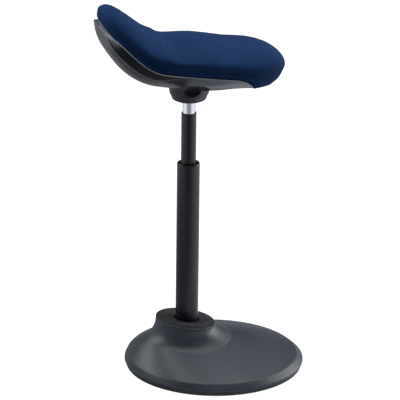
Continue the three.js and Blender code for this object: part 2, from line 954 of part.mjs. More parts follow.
// A point of the hull at a share of the way out to the outline.
function hullPoint(angle, reach, inset) {
  const edge = outline(angle);
  const along = reach * edge.along;
  const across = reach * edge.across;
  const rise = hullRise(along, across, inset);
  return inset > 0
    ? seatPoint(...drawnIn(along, across, inset), rise)
    : seatPoint(along, across, rise);
}

// A place moved towards the middle, in step with an outline that is drawn in by a wall.
function drawnIn(along, across, inset) {
  return [along * (1 - inset / outlineLength(along)), across * (1 - inset / seat_half_width)];
}

// The shell's outside, or with an inset its inside, closed at a height over its lip.
function hullSkin(inset, lid) {
  const rings = [];
  for (let step = 1; step <= hull_steps; step++) {
    const share = Math.sin((Math.PI / 2) * (step / hull_steps));
    rings.push(ringOf(seat_sides, (angle) => hullPoint(angle, share * shellShare(angle), inset)));
  }
  for (const land of [0, 2 * shell_wall]) {
    rings.push(ringOf(seat_sides, (angle) => {
      const edge = outline(angle);
      const along = shellShare(angle) * edge.along;
      const across = shellShare(angle) * edge.across;
      const rise = hullRise(along, across, 0) + bandAt(along) + lid;
      return seatPoint(...drawnIn(along, across, inset + land), rise);
    }));
  }
  return skin(rings, seatPoint(0, 0, inset - hull_depth), seatPoint(0, 0, lid));
}

// A shape built upright, set square on the seat line at a distance along and across it.
function onSeat(geometry, along, across) {
  const place = seatPoint(along, across, 0);
  return geometry.rotateY(-seatLine(along).angle).translate(place.x, place.y, place.z);
}

function mirrored(along, across) {
  return [[along, across], [along, -across], [-along, across], [-along, -across]];
}

const shell_screws = mirrored(shell_screw_along, shell_screw_across);
const bracket_bolts = mirrored(bracket_bolt_along, bracket_bolt_across);

function seatRods(places, radius, bottom, top) {
  const one = ([along, across]) =>
    solidOf(onSeat(rod(radius, bottom, top, small_sides), along, across));
  return union(...places.map(one));
}

// The pan, with a gap all round it where it cuts its neighbours: square sections set side by side
// along the seat line, from the blunt tail end to the blunt front end.
function panSkin(gap) {
  const low = -pan_thickness - gap;
  const rings = [];
  for (let step = 0; step <= pan_steps; step++) {
    const share = -Math.cos((Math.PI * step) / pan_steps) * pan_end_share;
    const length = share < 0 ? seat_rear - pan_inset : seat_front - pan_front_inset;
    const along = share * (length + gap);
    const left = (1 - Math.abs(share) ** outline_length_power_share) ** (1 / outline_width_power_share);
    const across = (seat_half_width - pan_inset) * left + gap;
    rings.push([
      seatPoint(along, -across, low),
      seatPoint(along, across, low),
      seatPoint(along, across, gap),
      seatPoint(along, -across, gap),
    ]);
  }
  const rear = rings[0][0].clone().lerp(rings[0][2], 1 / 2);
  const front = rings[pan_steps][0].clone().lerp(rings[pan_steps][2], 1 / 2);
  return skin(rings, rear, front);
}

function seatPan() {
  const low = -pan_thickness - overrun;
  return cut(
    solidOf(panSkin(0)),
    seatRods(shell_screws, screw_shank_radius + seat_gap, low, screw_bite - pan_thickness + seat_gap),
    seatRods(bracket_bolts, bolt_shank_radius + seat_gap, low, screw_bite - pan_thickness + seat_gap),
  );
}

function scoop(radius) {
  return new THREE.SphereGeometry(radius, dish_sides, small_sides)
    .rotateX(Math.PI / 2)
    .scale(1, 1, scoop_flatten_share)
    .translate(scoop_lead, -scoop_reach, cup_bottom + scoop_rise);
}

// Ribs that tie the four screw bosses together across and along the hull.
function shellRibs() {
  const depth = 2 * hull_depth;
  const across = (along) => onSeat(
    block(rib_thickness, 2 * seat_half_width, -depth, -rib_drop), along, 0);
  const lengthwise = (side) => onSeat(
    block(2 * shell_screw_along, rib_thickness, -depth, -rib_drop), 0, side);
  return union(
    solidOf(across(shell_screw_along)),
    solidOf(across(-shell_screw_along)),
    solidOf(lengthwise(shell_screw_across)),
    solidOf(lengthwise(-shell_screw_across)),
  );
}

function seatShell() {
  const outside = solidOf(hullSkin(0, 0));
  const bosses = seatRods(shell_screws, shell_boss_radius, -2 * hull_depth, -pan_thickness / 2);
  const fittings = union(bosses, shellRibs()).intersect(solidOf(hullSkin(0, hull_depth)));
  const opening = solidOf(rod(shell_opening_radius, cup_bottom, seat_line_height));
  return cut(
    union(cut(outside, solidOf(hullSkin(shell_wall, overrun))), fittings),
    opening,
    solidOf(scoop(scoop_radius + scoop_wall + seat_gap)),
    solidOf(panSkin(seat_gap)),
    seatRods(shell_screws, screw_head_radius + screw_room, -2 * hull_depth, -shell_screw_drop),
    seatRods(shell_screws, screw_shank_radius + seat_gap, -hull_depth, 0),
  );
}

function shellScrew(along, across) {
  const head = rod(screw_head_radius, -shell_screw_drop - screw_head_height - seat_gap,
    -shell_screw_drop - seat_gap, small_sides);
  const shank = rod(screw_shank_radius, -shell_screw_drop - screw_head_height / 2,
    screw_bite - pan_thickness, small_sides);
  const both = (shape) => solidOf(onSeat(shape, along, across));
  return union(both(head), both(shank));
}

// Cushion: a flat underside on the pan, a hem above the shell's lip, sides that swell out to the
// widest line, and a crown. Round the tail the sides are undercut, and at the nose they reach
// ahead and wrap under.

function crownAt(along) {
  const waist = THREE.MathUtils.smoothstep(-along, waist_start, waist_end);
  const tail = THREE.MathUtils.smoothstep(-along, tail_crown_start, tail_crown_end);
  const nose = THREE.MathUtils.smoothstep(along, nose_crown_start, nose_crown_end);
  return cushion_crown + (cushion_waist_crown - cushion_crown) * waist
    + (cushion_tail_crown - cushion_waist_crown) * tail
    + (cushion_nose_crown - cushion_crown) * nose;
}

// How much of the nose's shape applies: none at the sides and the tail, all of it dead ahead.
function noseShare(angle) {
  return THREE.MathUtils.smoothstep(Math.cos(angle), ...nose_span_shares);
}

// How much of the tail's side applies: none ahead of the waist, all of it behind.
function tailShare(along) {
  return THREE.MathUtils.smoothstep(-along, tail_side_start, tail_side_end);
}

// The widest line of the sides, where they meet the crown.
function widest(angle) {
  const edge = outline(angle);
  const nose = noseShare(angle);
  const end = THREE.MathUtils.smoothstep(-Math.cos(angle), ...tail_span_shares);
  const out = cushion_bulge + end * tail_overhang;
  return {
    along: edge.along * (1 + out / outlineLength(edge.along)) - nose * nose_set_back,
    across: edge.across * (1 + cushion_bulge / seat_half_width),
    rise: widest_rise + nose * nose_rise
      + tailShare(edge.along) * (tail_widest_rise - widest_rise),
  };
}

function hemPoint(angle, margin, rise, reach = 1) {
  const edge = outline(angle);
  const share = shellShare(angle);
  const gap = nose_gap * noseShare(angle);
  const length = outlineLength(edge.along);
  const along = edge.along * (share + (gap - margin) / length);
  const across = edge.across * (share + (gap - margin) / seat_half_width);
  return seatPoint(reach * along, reach * across, rise);
}

function sidePoint(angle, share) {
  const high = widest(angle);
  const tuck = tail_undercut * tailShare(outline(angle).along) * Math.sin(Math.PI * share);
  const low = hemPoint(angle, tuck, hemRise(angle));
  const out = new THREE.Vector3(1, 0, -1).normalize();
  const reach = nose_reach * noseShare(angle) * Math.sin(Math.PI * share);
  return low.lerp(seatPoint(...drawnIn(high.along, high.across, tuck), high.rise), share)
    .addScaledVector(out, reach);
}

function hemRise(angle) {
  const edge = outline(angle);
  const share = shellShare(angle);
  return hullRise(share * edge.along, share * edge.across, 0)
    + bandAt(share * edge.along) + cushion_gap;
}

function cushion() {
  const rings = [];
  for (let step = 1; step <= underside_steps; step++) {
    rings.push(ringOf(seat_sides, (angle) => {
      const margin = THREE.MathUtils.lerp(hem_width, nose_hem_width, noseShare(angle));
      return hemPoint(angle, margin, cushion_gap, step / underside_steps);
    }));
  }
  for (let step = 0; step < side_steps; step++) {
    rings.push(ringOf(seat_sides, (angle) => sidePoint(angle, step / side_steps)));
  }
  for (let step = 0; step < crown_steps; step++) {
    const share = Math.cos((Math.PI / 2) * (step / crown_steps));
    rings.push(ringOf(seat_sides, (angle) => {
      const edge = widest(angle);
      const along = share * edge.along;
      const end = THREE.MathUtils.smoothstep(Math.abs(Math.cos(angle)), ...end_span_shares);
      const power = THREE.MathUtils.lerp(crown_power_share, end_power_share, end);
      const lift = Math.sqrt(1 - share ** power);
      const rise = THREE.MathUtils.lerp(edge.rise, crownAt(along), lift);
      return seatPoint(along, share * edge.across, rise);
    }));
  }
  const body = skin(rings, seatPoint(0, 0, cushion_gap), seatPoint(0, 0, cushion_crown));
  return cut(solidOf(body), solidOf(panSkin(seat_gap)));
}

// Mechanism housing: a tapered cup under the hull with a dished finger scoop on one side.
function cup() {
  return turned([
    [0, cup_bottom],
    [cup_bottom_radius, cup_bottom],
    [cup_low_radius, cup_bottom + cup_low_rise],
    [cup_mid_radius, cup_bottom + cup_mid_rise],
    [cup_high_radius, cup_bottom + cup_high_rise],
    [cup_top_radius, cup_bottom + cup_top_rise],
    [0, cup_bottom + cup_top_rise],
  ], tube_sides);
}

function cupCavity() {
  const top = cup_bottom + 2 * cup_top_rise;
  return turned([
    [0, cup_bottom + cup_floor],
    [cup_floor_radius, cup_bottom + cup_floor],
    [cup_mid_radius - cup_wall, cup_bottom + cup_mid_rise],
    [cup_high_radius - cup_wall, cup_bottom + cup_high_rise],
    [cup_top_radius - cup_wall, cup_bottom + cup_top_rise],
    [cup_top_radius - cup_wall, top],
    [0, top],
  ], round_sides);
}

function mechanismHousing() {
  const hull = solidOf(hullSkin(0, 0));
  const clear = solidOf(hullSkin(-seat_gap, 0));
  const hollow = cut(solidOf(cup()), clear, solidOf(cupCavity()));
  const dish = solidOf(scoop(scoop_radius + scoop_wall)).intersect(union(solidOf(cup()), hull));
  const window = solidOf(block(window_width, scoop_reach, window_bottom, window_top)
    .translate(0, -scoop_reach / 2, 0));
  return cut(
    union(hollow, dish),
    solidOf(scoop(scoop_radius)),
    window,
    solidOf(rod(cylinder_run, cup_bottom - overrun, cylinder_top)),
  );
}

function seatBracket() {
  const outer = cheek_spacing / 2 + cheek_thickness;
  const top = -pan_thickness - seat_gap;
  const plate = solidOf(onSeat(
    block(bracket_length, bracket_width, top - bracket_plate, top), 0, 0));
  const above = solidOf(onSeat(
    block(bracket_length, bracket_width, top - bracket_plate / 2, hull_depth), 0, 0));
  const cheeks = [-1, 1].flatMap((side) => {
    const x = side * (cheek_spacing + cheek_thickness) / 2;
    const depth = cheek_half_width + cheek_front_reach;
    return [
      block(cheek_thickness, 2 * cheek_half_width, socket_bottom, seat_line_height)
        .translate(x, 0, 0),
      block(cheek_thickness, depth, cheek_step_height, seat_line_height)
        .translate(x, (cheek_half_width - cheek_front_reach) / 2, 0),
    ];
  });
  const floor = block(2 * outer, 2 * cheek_half_width, socket_bottom, socket_bottom + bracket_floor);
  const socket = rod(cylinder_radius + socket_wall, socket_bottom, cylinder_top);
  const bore = turned([
    [0, socket_bottom - overrun],
    [cylinder_run, socket_bottom - overrun],
    [cylinder_run - taper_reduction, cylinder_top],
    [cylinder_run - taper_reduction, cylinder_top + overrun],
    [0, cylinder_top + overrun],
  ]);
  const body = cut(union(...cheeks.map(solidOf), solidOf(floor), solidOf(socket)), above);
  return cut(
    union(body, plate),
    solidOf(panSkin(seat_gap)),
    solidOf(bore),
    solidOf(paddleRod(paddle_pin_radius + seat_gap, outer + overrun)),
    seatRods(bracket_bolts, bolt_shank_radius + seat_gap, top - 2 * bracket_plate, 0),
  );
}

// A round bar along X on the paddle's pivot.
function paddleRod(radius, reach) {
  return rod(radius, -reach, reach, small_sides)
    .rotateY(Math.PI / 2)
    .translate(0, -paddle_pivot_reach, cylinder_top + paddle_pivot_rise);
}

function paddlePin() {
  return paddleRod(paddle_pin_radius, cheek_spacing / 2 + cheek_thickness + paddle_pin_overhang);
}

// The paddle's side view, in the distance from the pivot towards the column and the height.
function releasePaddle() {
  const half = paddle_thickness / 2;
  const inner = paddle_pivot_reach + paddle_inner_reach;
  const crank = paddle_pivot_reach - paddle_crank_reach;
  const tip = paddle_pivot_reach - paddle_tip_reach;
  const side = [
    [inner, -half], [inner, half], [crank, half],
    [tip, half - paddle_tip_drop], [tip, -half - paddle_tip_drop], [crank, -half],
  ];
  const bar = new THREE.ExtrudeGeometry(
    new THREE.Shape(side.map(([y, z]) => new THREE.Vector2(y, z))),
    { depth: paddle_width, bevelEnabled: false })
    .translate(0, 0, -paddle_width / 2)
    .rotateX(Math.PI / 2)
    .rotateZ(Math.PI / 2)
    .translate(0, -paddle_pivot_reach, cylinder_top + paddle_pivot_rise);
  const hub = paddleRod(paddle_hub_radius, paddle_width / 2);
  const bore = paddleRod(paddle_pin_radius + run_gap, paddle_width);
  return cut(union(solidOf(bar), solidOf(hub)), solidOf(bore));
}

function bracketBolt(along, across) {
  const seat = -pan_thickness - bracket_plate - 2 * seat_gap;
  const head = rod(bolt_head_radius, seat - bolt_head_height, seat, hex_sides);
  const shank = rod(bolt_shank_radius, seat - bolt_head_height / 2,
    screw_bite - pan_thickness, small_sides);
  return union(...[head, shank].map((shape) => solidOf(onSeat(shape, along, across))));
}

// Assembly

add('foot_tray', footTray(), rubber);
add('ballast_plate', ballastPlate(), cast_iron);
add('bearing_housing', bearingHousing(), cast_iron);
add('bearing_retainer', bearingRetainer(), cast_iron);
add('sway_bush', swayBush(), rubber);
add('sway_ball', swayBall(), steel);
add('base_cover', baseCover(), cover_plastic);
add('collar_ring', collarRing(), collar_plastic);
add('hub_boot', hubBoot(), rubber);
cover_screws.forEach(([x, y], i) => add(`cover_screw_${i + 1}`, coverScrew(x, y), steel));
bearing_bolts.forEach(([x, y], i) => add(`housing_bolt_${i + 1}`, housingBolt(x, y), steel));
retainer_bolts.forEach(([x, y], i) => add(`retainer_bolt_${i + 1}`, retainerBolt(x, y), steel));

add('outer_tube', outerTube(), painted_tube);
add('outer_guide_bush', outerGuideBush(), guide_plastic);
add('thrust_bearing', thrustBearing(), steel);
add('piston_rod', pistonRod(), chrome);
add('rod_washer', rodWasher(), steel);
add('retaining_clip', retainingClip(), steel);
add('gas_piston', gasPiston(), guide_plastic);
add('middle_tube', middleTube(), painted_tube);
add('middle_foot_ring', middleFootRing(), guide_plastic);
add('middle_guide_bush', middleGuideBush(), guide_plastic);
add('gas_cylinder', gasCylinder(), chrome);
add('release_pin', releasePin(), steel);

add('mechanism_housing', mechanismHousing(), shell_plastic);
add('seat_bracket', seatBracket(), steel);
add('release_paddle', releasePaddle(), paddle_plastic);
add('paddle_pin', paddlePin(), steel);
add('seat_pan', seatPan(), board);
add('seat_shell', seatShell(), shell_plastic);
add('cushion', cushion(), fabric);
shell_screws.forEach((at, i) => add(`shell_screw_${i + 1}`, shellScrew(...at), steel));
bracket_bolts.forEach((at, i) => add(`bracket_bolt_${i + 1}`, bracketBolt(...at), steel));

export default stool;
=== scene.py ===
# %% [markdown]
# # Perch stool
# A perch stool with a weighted round base, an off-centre hub, a gas column in three stages and a
# saddle seat with a raised tail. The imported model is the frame. The moulded, turned and sewn
# surfaces that show are made again here as smooth parametric meshes in the same places.

import json
import math

import bmesh
import bpy
import numpy as np
from mathutils import Matrix


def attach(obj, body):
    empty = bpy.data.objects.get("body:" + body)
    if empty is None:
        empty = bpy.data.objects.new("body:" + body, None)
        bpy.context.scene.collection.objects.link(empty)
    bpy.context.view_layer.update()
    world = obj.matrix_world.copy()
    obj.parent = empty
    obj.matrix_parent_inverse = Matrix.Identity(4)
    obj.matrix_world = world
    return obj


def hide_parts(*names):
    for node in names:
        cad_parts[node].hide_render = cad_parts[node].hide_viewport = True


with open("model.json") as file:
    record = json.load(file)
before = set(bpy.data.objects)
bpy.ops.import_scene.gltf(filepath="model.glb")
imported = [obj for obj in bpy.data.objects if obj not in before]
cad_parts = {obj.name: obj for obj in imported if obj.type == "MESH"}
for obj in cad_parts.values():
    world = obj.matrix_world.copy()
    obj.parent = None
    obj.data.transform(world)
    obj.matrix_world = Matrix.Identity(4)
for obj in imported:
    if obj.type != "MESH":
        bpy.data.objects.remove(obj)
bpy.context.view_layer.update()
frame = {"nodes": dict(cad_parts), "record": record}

# %% [markdown]
# ## Camera
# The picture was taken from the sitter's right, a little behind and above, with a long lens.
# The origin, the floor point on the column's axis, lands on its own pixel by a small shift.

# %% Camera
IMAGE_SIZE = 400
SENSOR = 36.0
AZIMUTH, ELEVATION, ROLL = -15.0, 21.0, 0.6
DISTANCE = 12.0
METRES_PER_PIXEL = 0.00219
TARGET = np.array([0.0, 0.0, 0.38])
ORIGIN_PIXEL = np.array([186.3, 364.7])


def make_camera():
    """Right, up and back axes from azimuth, elevation and roll, then the shift for the origin."""
    a, e, r = np.radians([AZIMUTH, ELEVATION, ROLL])
    back = np.array([np.sin(a) * np.cos(e), -np.cos(a) * np.cos(e), np.sin(e)])
    level = np.array([np.cos(a), np.sin(a), 0.0])
    upright = np.cross(back, level)
    right = level * np.cos(r) + upright * np.sin(r)
    up = -level * np.sin(r) + upright * np.cos(r)
    place = TARGET + back * DISTANCE
    focal = DISTANCE / METRES_PER_PIXEL
    depth = place @ back
    pixel = np.array([-focal * (place @ right), focal * (place @ up)]) / depth
    centre = ORIGIN_PIXEL - pixel
    data = bpy.data.cameras.new("view")
    data.sensor_width = SENSOR
    data.lens = focal * SENSOR / IMAGE_SIZE
    data.clip_end = 60.0
    data.shift_x = float((IMAGE_SIZE / 2 - centre[0]) / IMAGE_SIZE)
    data.shift_y = float((centre[1] - IMAGE_SIZE / 2) / IMAGE_SIZE)
    camera = bpy.data.objects.new("view", data)
    matrix = Matrix.Identity(4)
    for i, axis in enumerate((right, up, back, place)):
        for j in range(3):
            matrix[j][i] = float(axis[j])
    camera.matrix_world = matrix
    bpy.context.scene.collection.objects.link(camera)
    bpy.context.scene.camera = camera
    return camera, right, back


camera, RIGHT, BACK = make_camera()
print("camera lens", round(camera.data.lens, 1), "shift", camera.data.shift_x, camera.data.shift_y)

# %% [markdown]
# ## Node helpers and colours

# %% Material helpers


def linear(code):
    """sRGB hex to linear red, green, blue and alpha."""
    parts = [int(code[i:i + 2], 16) / 255 for i in (1, 3, 5)]
    return tuple(v / 12.92 if v <= 0.04045 else ((v + 0.055) / 1.055) ** 2.4 for v in parts) + (1.0,)


def add(tree, kind, inputs=None, **settings):
    """A node with its settings, and its inputs set to a value or linked from a socket."""
    node = tree.nodes.new(kind)
    for key, value in settings.items():
        setattr(node, key, value)
    for key, value in (inputs or {}).items():
        if isinstance(value, bpy.types.NodeSocket):
            tree.links.new(value, node.inputs[key])
        else:
            node.inputs[key].default_value = value
    return node


def blank(name):
    """A material with only a Principled shader and its output."""
    material = bpy.data.materials.new(name)
    material.use_nodes = True
    tree = material.node_tree
    tree.nodes.clear()
    shader = add(tree, "ShaderNodeBsdfPrincipled")
    add(tree, "ShaderNodeOutputMaterial", {"Surface": shader.outputs["BSDF"]})
    return material, tree, shader


def noise(tree, scale, detail=3.0, roughness=0.5, stretch=(1, 1, 1)):
    """Noise in Object coordinates, its scale in cells to a metre."""
    where = add(tree, "ShaderNodeTexCoord").outputs["Object"]
    if stretch != (1, 1, 1):
        where = add(tree, "ShaderNodeMapping", {"Vector": where, "Scale": stretch}).outputs["Vector"]
    return add(tree, "ShaderNodeTexNoise", {
        "Vector": where, "Scale": scale, "Detail": detail, "Roughness": roughness})


def spread(tree, source, low, high, start=0.35, end=0.65):
    """A noise's middle range mapped to lie between two values."""
    return add(tree, "ShaderNodeMapRange", {
        "Value": source, "From Min": start, "From Max": end, "To Min": low, "To Max": high},
    ).outputs["Result"]


def mixed(tree, factor, first, second):
    """Two colours mixed by a factor."""
    node = add(tree, "ShaderNodeMix", data_type="RGBA")
    tree.links.new(factor, node.inputs["Factor"])
    for key, value in (("A", first), ("B", second)):
        socket = [s for s in node.inputs if s.name == key and s.type == "RGBA"][0]
        if isinstance(value, bpy.types.NodeSocket):
            tree.links.new(value, socket)
        else:
            socket.default_value = value
    return [s for s in node.outputs if s.type == "RGBA"][0]


def bumped(tree, shader, height, strength, depth):
    """Surface relief from a height, its depth in metres."""
    bump = add(tree, "ShaderNodeBump", {"Height": height, "Strength": strength, "Distance": depth})
    tree.links.new(bump.outputs["Normal"], shader.inputs["Normal"])
    return bump


# %% [markdown]
# ## Materials
# Moulded plastic: a fine spark-eroded grain under half a millimetre and a slow change of gloss,
# which breaks the reflection of the lamps a little and keeps the large face from looking flat.

# %% Materials


def moulded(name, colour, paler, roughness, grain=1600.0, depth=0.00012, coat=0.0):
    material, tree, shader = blank(name)
    slow = noise(tree, 9.0, 2.0).outputs["Fac"]
    shader.inputs["Specular IOR Level"].default_value = 0.5
    shader.inputs["Coat Weight"].default_value = coat
    shader.inputs["Coat Roughness"].default_value = 0.08
    tree.links.new(mixed(tree, spread(tree, slow, 0.0, 1.0), linear(colour), linear(paler)),
                   shader.inputs["Base Color"])
    tree.links.new(spread(tree, slow, roughness - 0.03, roughness + 0.04),
                   shader.inputs["Roughness"])
    fine = noise(tree, grain, 2.0, 0.6)
    bumped(tree, shader, fine.outputs["Fac"], 0.35, depth)
    return material


def gloss_moulded(name, colour, paler, edge, roughness, grain, depth, coat):
    """The moulding with a painted highlight: paler along the lip's edge and the crease, where the mesh has that
    attribute.
    """
    material = moulded(name, colour, paler, roughness, grain, depth, coat)
    tree = material.node_tree
    shader = next(node for node in tree.nodes if node.type == "BSDF_PRINCIPLED")
    body = shader.inputs["Base Color"].links[0].from_socket
    near = add(tree, "ShaderNodeAttribute", attribute_name="painted_highlight").outputs["Fac"]
    tree.links.new(mixed(tree, near, body, linear(edge)), shader.inputs["Base Color"])
    return material


def metal(name, colour, roughness, along=(1, 1, 1), scale=300.0, tint=None):
    """Metal whose gloss runs in streaks or blotches with the way that it was finished."""
    material, tree, shader = blank(name)
    shader.inputs["Metallic"].default_value = 1.0
    streak = noise(tree, scale, 4.0, 0.6, along).outputs["Fac"]
    tree.links.new(mixed(tree, spread(tree, streak, 0.0, 1.0), linear(colour), linear(tint or colour)),
                   shader.inputs["Base Color"])
    tree.links.new(spread(tree, streak, roughness * 0.8, roughness * 1.3), shader.inputs["Roughness"])
    bumped(tree, shader, streak, 0.15, 0.00005)
    return material


def powder_coat(name):
    """Semi-gloss black powder coat: a shallow orange peel about a millimetre across."""
    material, tree, shader = blank(name)
    peel = noise(tree, 700.0, 1.0).outputs["Fac"]
    slow = noise(tree, 14.0, 2.0).outputs["Fac"]
    tree.links.new(mixed(tree, spread(tree, slow, 0.0, 1.0), linear("#0a0d15"), linear("#0e111b")),
                   shader.inputs["Base Color"])
    tree.links.new(spread(tree, slow, 0.27, 0.33), shader.inputs["Roughness"])
    bumped(tree, shader, peel, 0.2, 0.00015)
    return material


def soft_rubber(name, colour):
    """Matt rubber with a faint bloom of dust, which greys it in patches."""
    material, tree, shader = blank(name)
    bloom = noise(tree, 45.0, 5.0, 0.65).outputs["Fac"]
    tree.links.new(mixed(tree, spread(tree, bloom, 0.0, 1.0), linear(colour), linear("#26282b")),
                   shader.inputs["Base Color"])
    tree.links.new(spread(tree, bloom, 0.62, 0.74), shader.inputs["Roughness"])
    bumped(tree, shader, noise(tree, 900.0, 2.0).outputs["Fac"], 0.25, 0.0002)
    return material


def iron(name):
    """Cast iron under dark primer: sand-cast pits a few millimetres apart."""
    material, tree, shader = blank(name)
    pits = noise(tree, 260.0, 6.0, 0.65).outputs["Fac"]
    tree.links.new(mixed(tree, spread(tree, pits, 0.0, 1.0), linear("#33353a"), linear("#45474b")),
                   shader.inputs["Base Color"])
    shader.inputs["Roughness"].default_value = 0.72
    bumped(tree, shader, pits, 0.6, 0.0008)
    return material


def plywood(name):
    """Moulded plywood: long pale and dark grain lines that follow the seat's length."""
    material, tree, shader = blank(name)
    grain = noise(tree, 60.0, 6.0, 0.7, (0.12, 3.0, 3.0)).outputs["Fac"]
    tree.links.new(mixed(tree, spread(tree, grain, 0.0, 1.0), linear("#8a6a42"), linear("#b89463")),
                   shader.inputs["Base Color"])
    shader.inputs["Roughness"].default_value = 0.7
    bumped(tree, shader, grain, 0.3, 0.0002)
    return material


MATERIALS = {
    "rubber": soft_rubber("black_rubber", "#1a1c1f"),
    "cast_iron": iron("primed_cast_iron"),
    "cover_plastic": moulded("grained_grey_moulding", "#343a43", "#3a404a", 0.42),
    "collar_plastic": moulded("matt_black_moulding", "#2b2e33", "#32353b", 0.46),
    "steel": metal("zinc_plated_steel", "#9a9da2", 0.34, (1, 1, 1), 220.0, "#85888e"),
    "tube_paint": powder_coat("black_powder_coat"),
    "guide_plastic": moulded("black_acetal", "#0f1013", "#141518", 0.42),
    "chrome": metal("bright_chrome_plate", "#e6e8ea", 0.07, (1, 1, 0.02), 260.0),
    # The shell's pale colour along the lip's edge and the crease is a painted highlight.
    "shell_plastic": gloss_moulded("glossy_black_moulding", "#14171c", "#181b21", "#8a8f98", 0.3,
                                   1400.0, 0.00006, 0.15),
    # A paler, rougher copy of the shell's black for the cup and the paddle: painted light that lifts the shade
    # in the finger dish.
    "cup_lightened": moulded("lightened_grained_black_moulding", "#23262c", "#282b32", 0.42),
    "board": plywood("moulded_plywood"),
}
print("materials", sorted(MATERIALS))

# %% [markdown]
# ## Shape helpers
# Every shape is a stack of rings, as rows of points in millimetres. Corners between rows are
# rounded by putting a short curve in their place.

# %% Shape helpers
MM = 0.001
TURN = 2 * math.pi


def smooth(value, low, high):
    """0 below low, 1 above high, and an S-curve between."""
    t = np.clip((value - low) / (high - low), 0.0, 1.0)
    return t * t * (3 - 2 * t)


def blended(first, second, share):
    return first + (second - first) * share


def angles(count):
    return np.arange(count) * (TURN / count)


def circle(radius, height, count, centre=0.0):
    """A level ring of points, its centre moved ahead along X."""
    a = angles(count)
    return np.stack([centre + radius * np.cos(a), radius * np.sin(a), np.full(count, height)], -1)


def rounded(rows, radii, steps=4):
    """Rows with the named corners replaced by short curves that leave them by the given length."""
    out = []
    for i, row in enumerate(rows):
        size = radii.get(i, 0.0)
        if not size:
            out.append(row)
            continue
        before = rows[i - 1] - row
        after = rows[(i + 1) % len(rows)] - row
        size_before = np.minimum(size, 0.45 * np.linalg.norm(before, axis=-1))[:, None]
        size_after = np.minimum(size, 0.45 * np.linalg.norm(after, axis=-1))[:, None]
        before = before / np.maximum(np.linalg.norm(before, axis=-1), 1e-9)[:, None]
        after = after / np.maximum(np.linalg.norm(after, axis=-1), 1e-9)[:, None]
        for t in np.linspace(0, 1, steps + 1):
            out.append(row + (1 - t) ** 2 * size_before * before + t ** 2 * size_after * after)
    return out


def mesh_of(name, rows, low=None, high=None):
    """A closed mesh over rings. Poles close the ends, and without poles the last ring meets the first."""
    grid = np.stack(rows)
    count, wide = grid.shape[:2]
    points = grid.reshape(-1, 3)
    ring = np.arange(count if low is None else count - 1)[:, None]
    col = np.arange(wide)[None, :]
    here = ring * wide + col
    beside = ring * wide + (col + 1) % wide
    nxt = ((ring + 1) % count) * wide
    quads = np.stack([here, beside, nxt + (col + 1) % wide, nxt + col], -1).reshape(-1, 4)
    faces = quads.tolist()
    if low is not None:
        points = np.vstack([points, low, high])
        bottom, top = count * wide, count * wide + 1
        c = np.arange(wide)
        d = (c + 1) % wide
        faces += np.stack([np.full(wide, bottom), d, c], -1).tolist()
        last = (count - 1) * wide
        faces += np.stack([np.full(wide, top), last + c, last + d], -1).tolist()
    mesh = bpy.data.meshes.new(name)
    mesh.from_pydata((points * MM).tolist(), [], faces)
    mesh.validate()
    mesh.update()
    return mesh


def shade(mesh, angle=32.0):
    """Smooth shading with hard edges left where faces meet at more than the angle."""
    mesh.shade_smooth()
    mesh.set_sharp_from_angle(angle=math.radians(angle))


def piece(name, mesh, slot, body, replaced=(), material=None):
    """A finished piece: material, body, and the CAD nodes that it stands for."""
    obj = bpy.data.objects.new(name, mesh)
    bpy.context.scene.collection.objects.link(obj)
    mesh.materials.clear()
    mesh.materials.append(material or MATERIALS[slot])
    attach(obj, body)
    if replaced:
        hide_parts(*replaced)
    print(name, "faces", len(mesh.polygons))
    return obj


def lathe(profile, radii, sides=128, steps=4, centre=0.0):
    """Rings for a closed profile of radius and height, with rounded corners."""
    rows = [circle(r, z, sides, centre) for r, z in profile]
    return rounded(rows, radii, steps)


# %% [markdown]
# ## Base
# The cover is one moulding: an upright rim, a crease, a face that rises to the foot line, and a
# cove up to the tilted hub. It sits on a rubber tray.

# %% Base
SIDES = 256
BASE_LEAD, BASE_RADIUS = 62.5, 197.5
TRAY_HEIGHT, TRAY_FLARE, TRAY_WALL, TRAY_FLOOR = 11.0, 4.0, 4.0, 3.0
CREASE_LEAD, CREASE_RADIUS, CREASE_HEIGHT, RIM_SHOULDER = 58.0, 188.0, 26.5, 14.5
HUB_HEIGHT, HUB_TILT, HUB_RADIUS, HUB_LEAD = 111.0, math.radians(7.3), 66.0, -3.0
FOOT_LEAD, FOOT_RADIUS, FOOT_HEIGHT = 6.0, 94.0, 61.0
FOOT_FRONT_RISE, FOOT_REAR_RISE = 12.0, 12.0
FACE_BULGE, FACE_REAR_BULGE = 1.5, 3.0
COVE_SLOPE, FLARE_RISE = 1.0, 22.0
COLLAR_THICKNESS, COLLAR_WIDTH, LEDGE = 4.0, 12.0, 6.0
COVER_WALL = 3.0


def hub_ring(radius, rise, count=SIDES):
    """A ring in the hub's tilted frame, at a height from its top plane."""
    a = angles(count)
    x, y = radius * np.cos(a), radius * np.sin(a)
    c, s = math.cos(HUB_TILT), math.sin(HUB_TILT)
    return np.stack([x * c + rise * s + HUB_LEAD, y, -x * s + rise * c + HUB_HEIGHT], -1)


def foot_ring(inset):
    a = angles(SIDES)
    x = FOOT_LEAD + (FOOT_RADIUS - inset) * np.cos(a)
    rise = np.where(x > FOOT_LEAD, FOOT_FRONT_RISE, FOOT_REAR_RISE)
    height = FOOT_HEIGHT - inset + rise * np.cos(a) ** 2
    return np.stack([x, (FOOT_RADIUS - inset) * np.sin(a), height], -1)


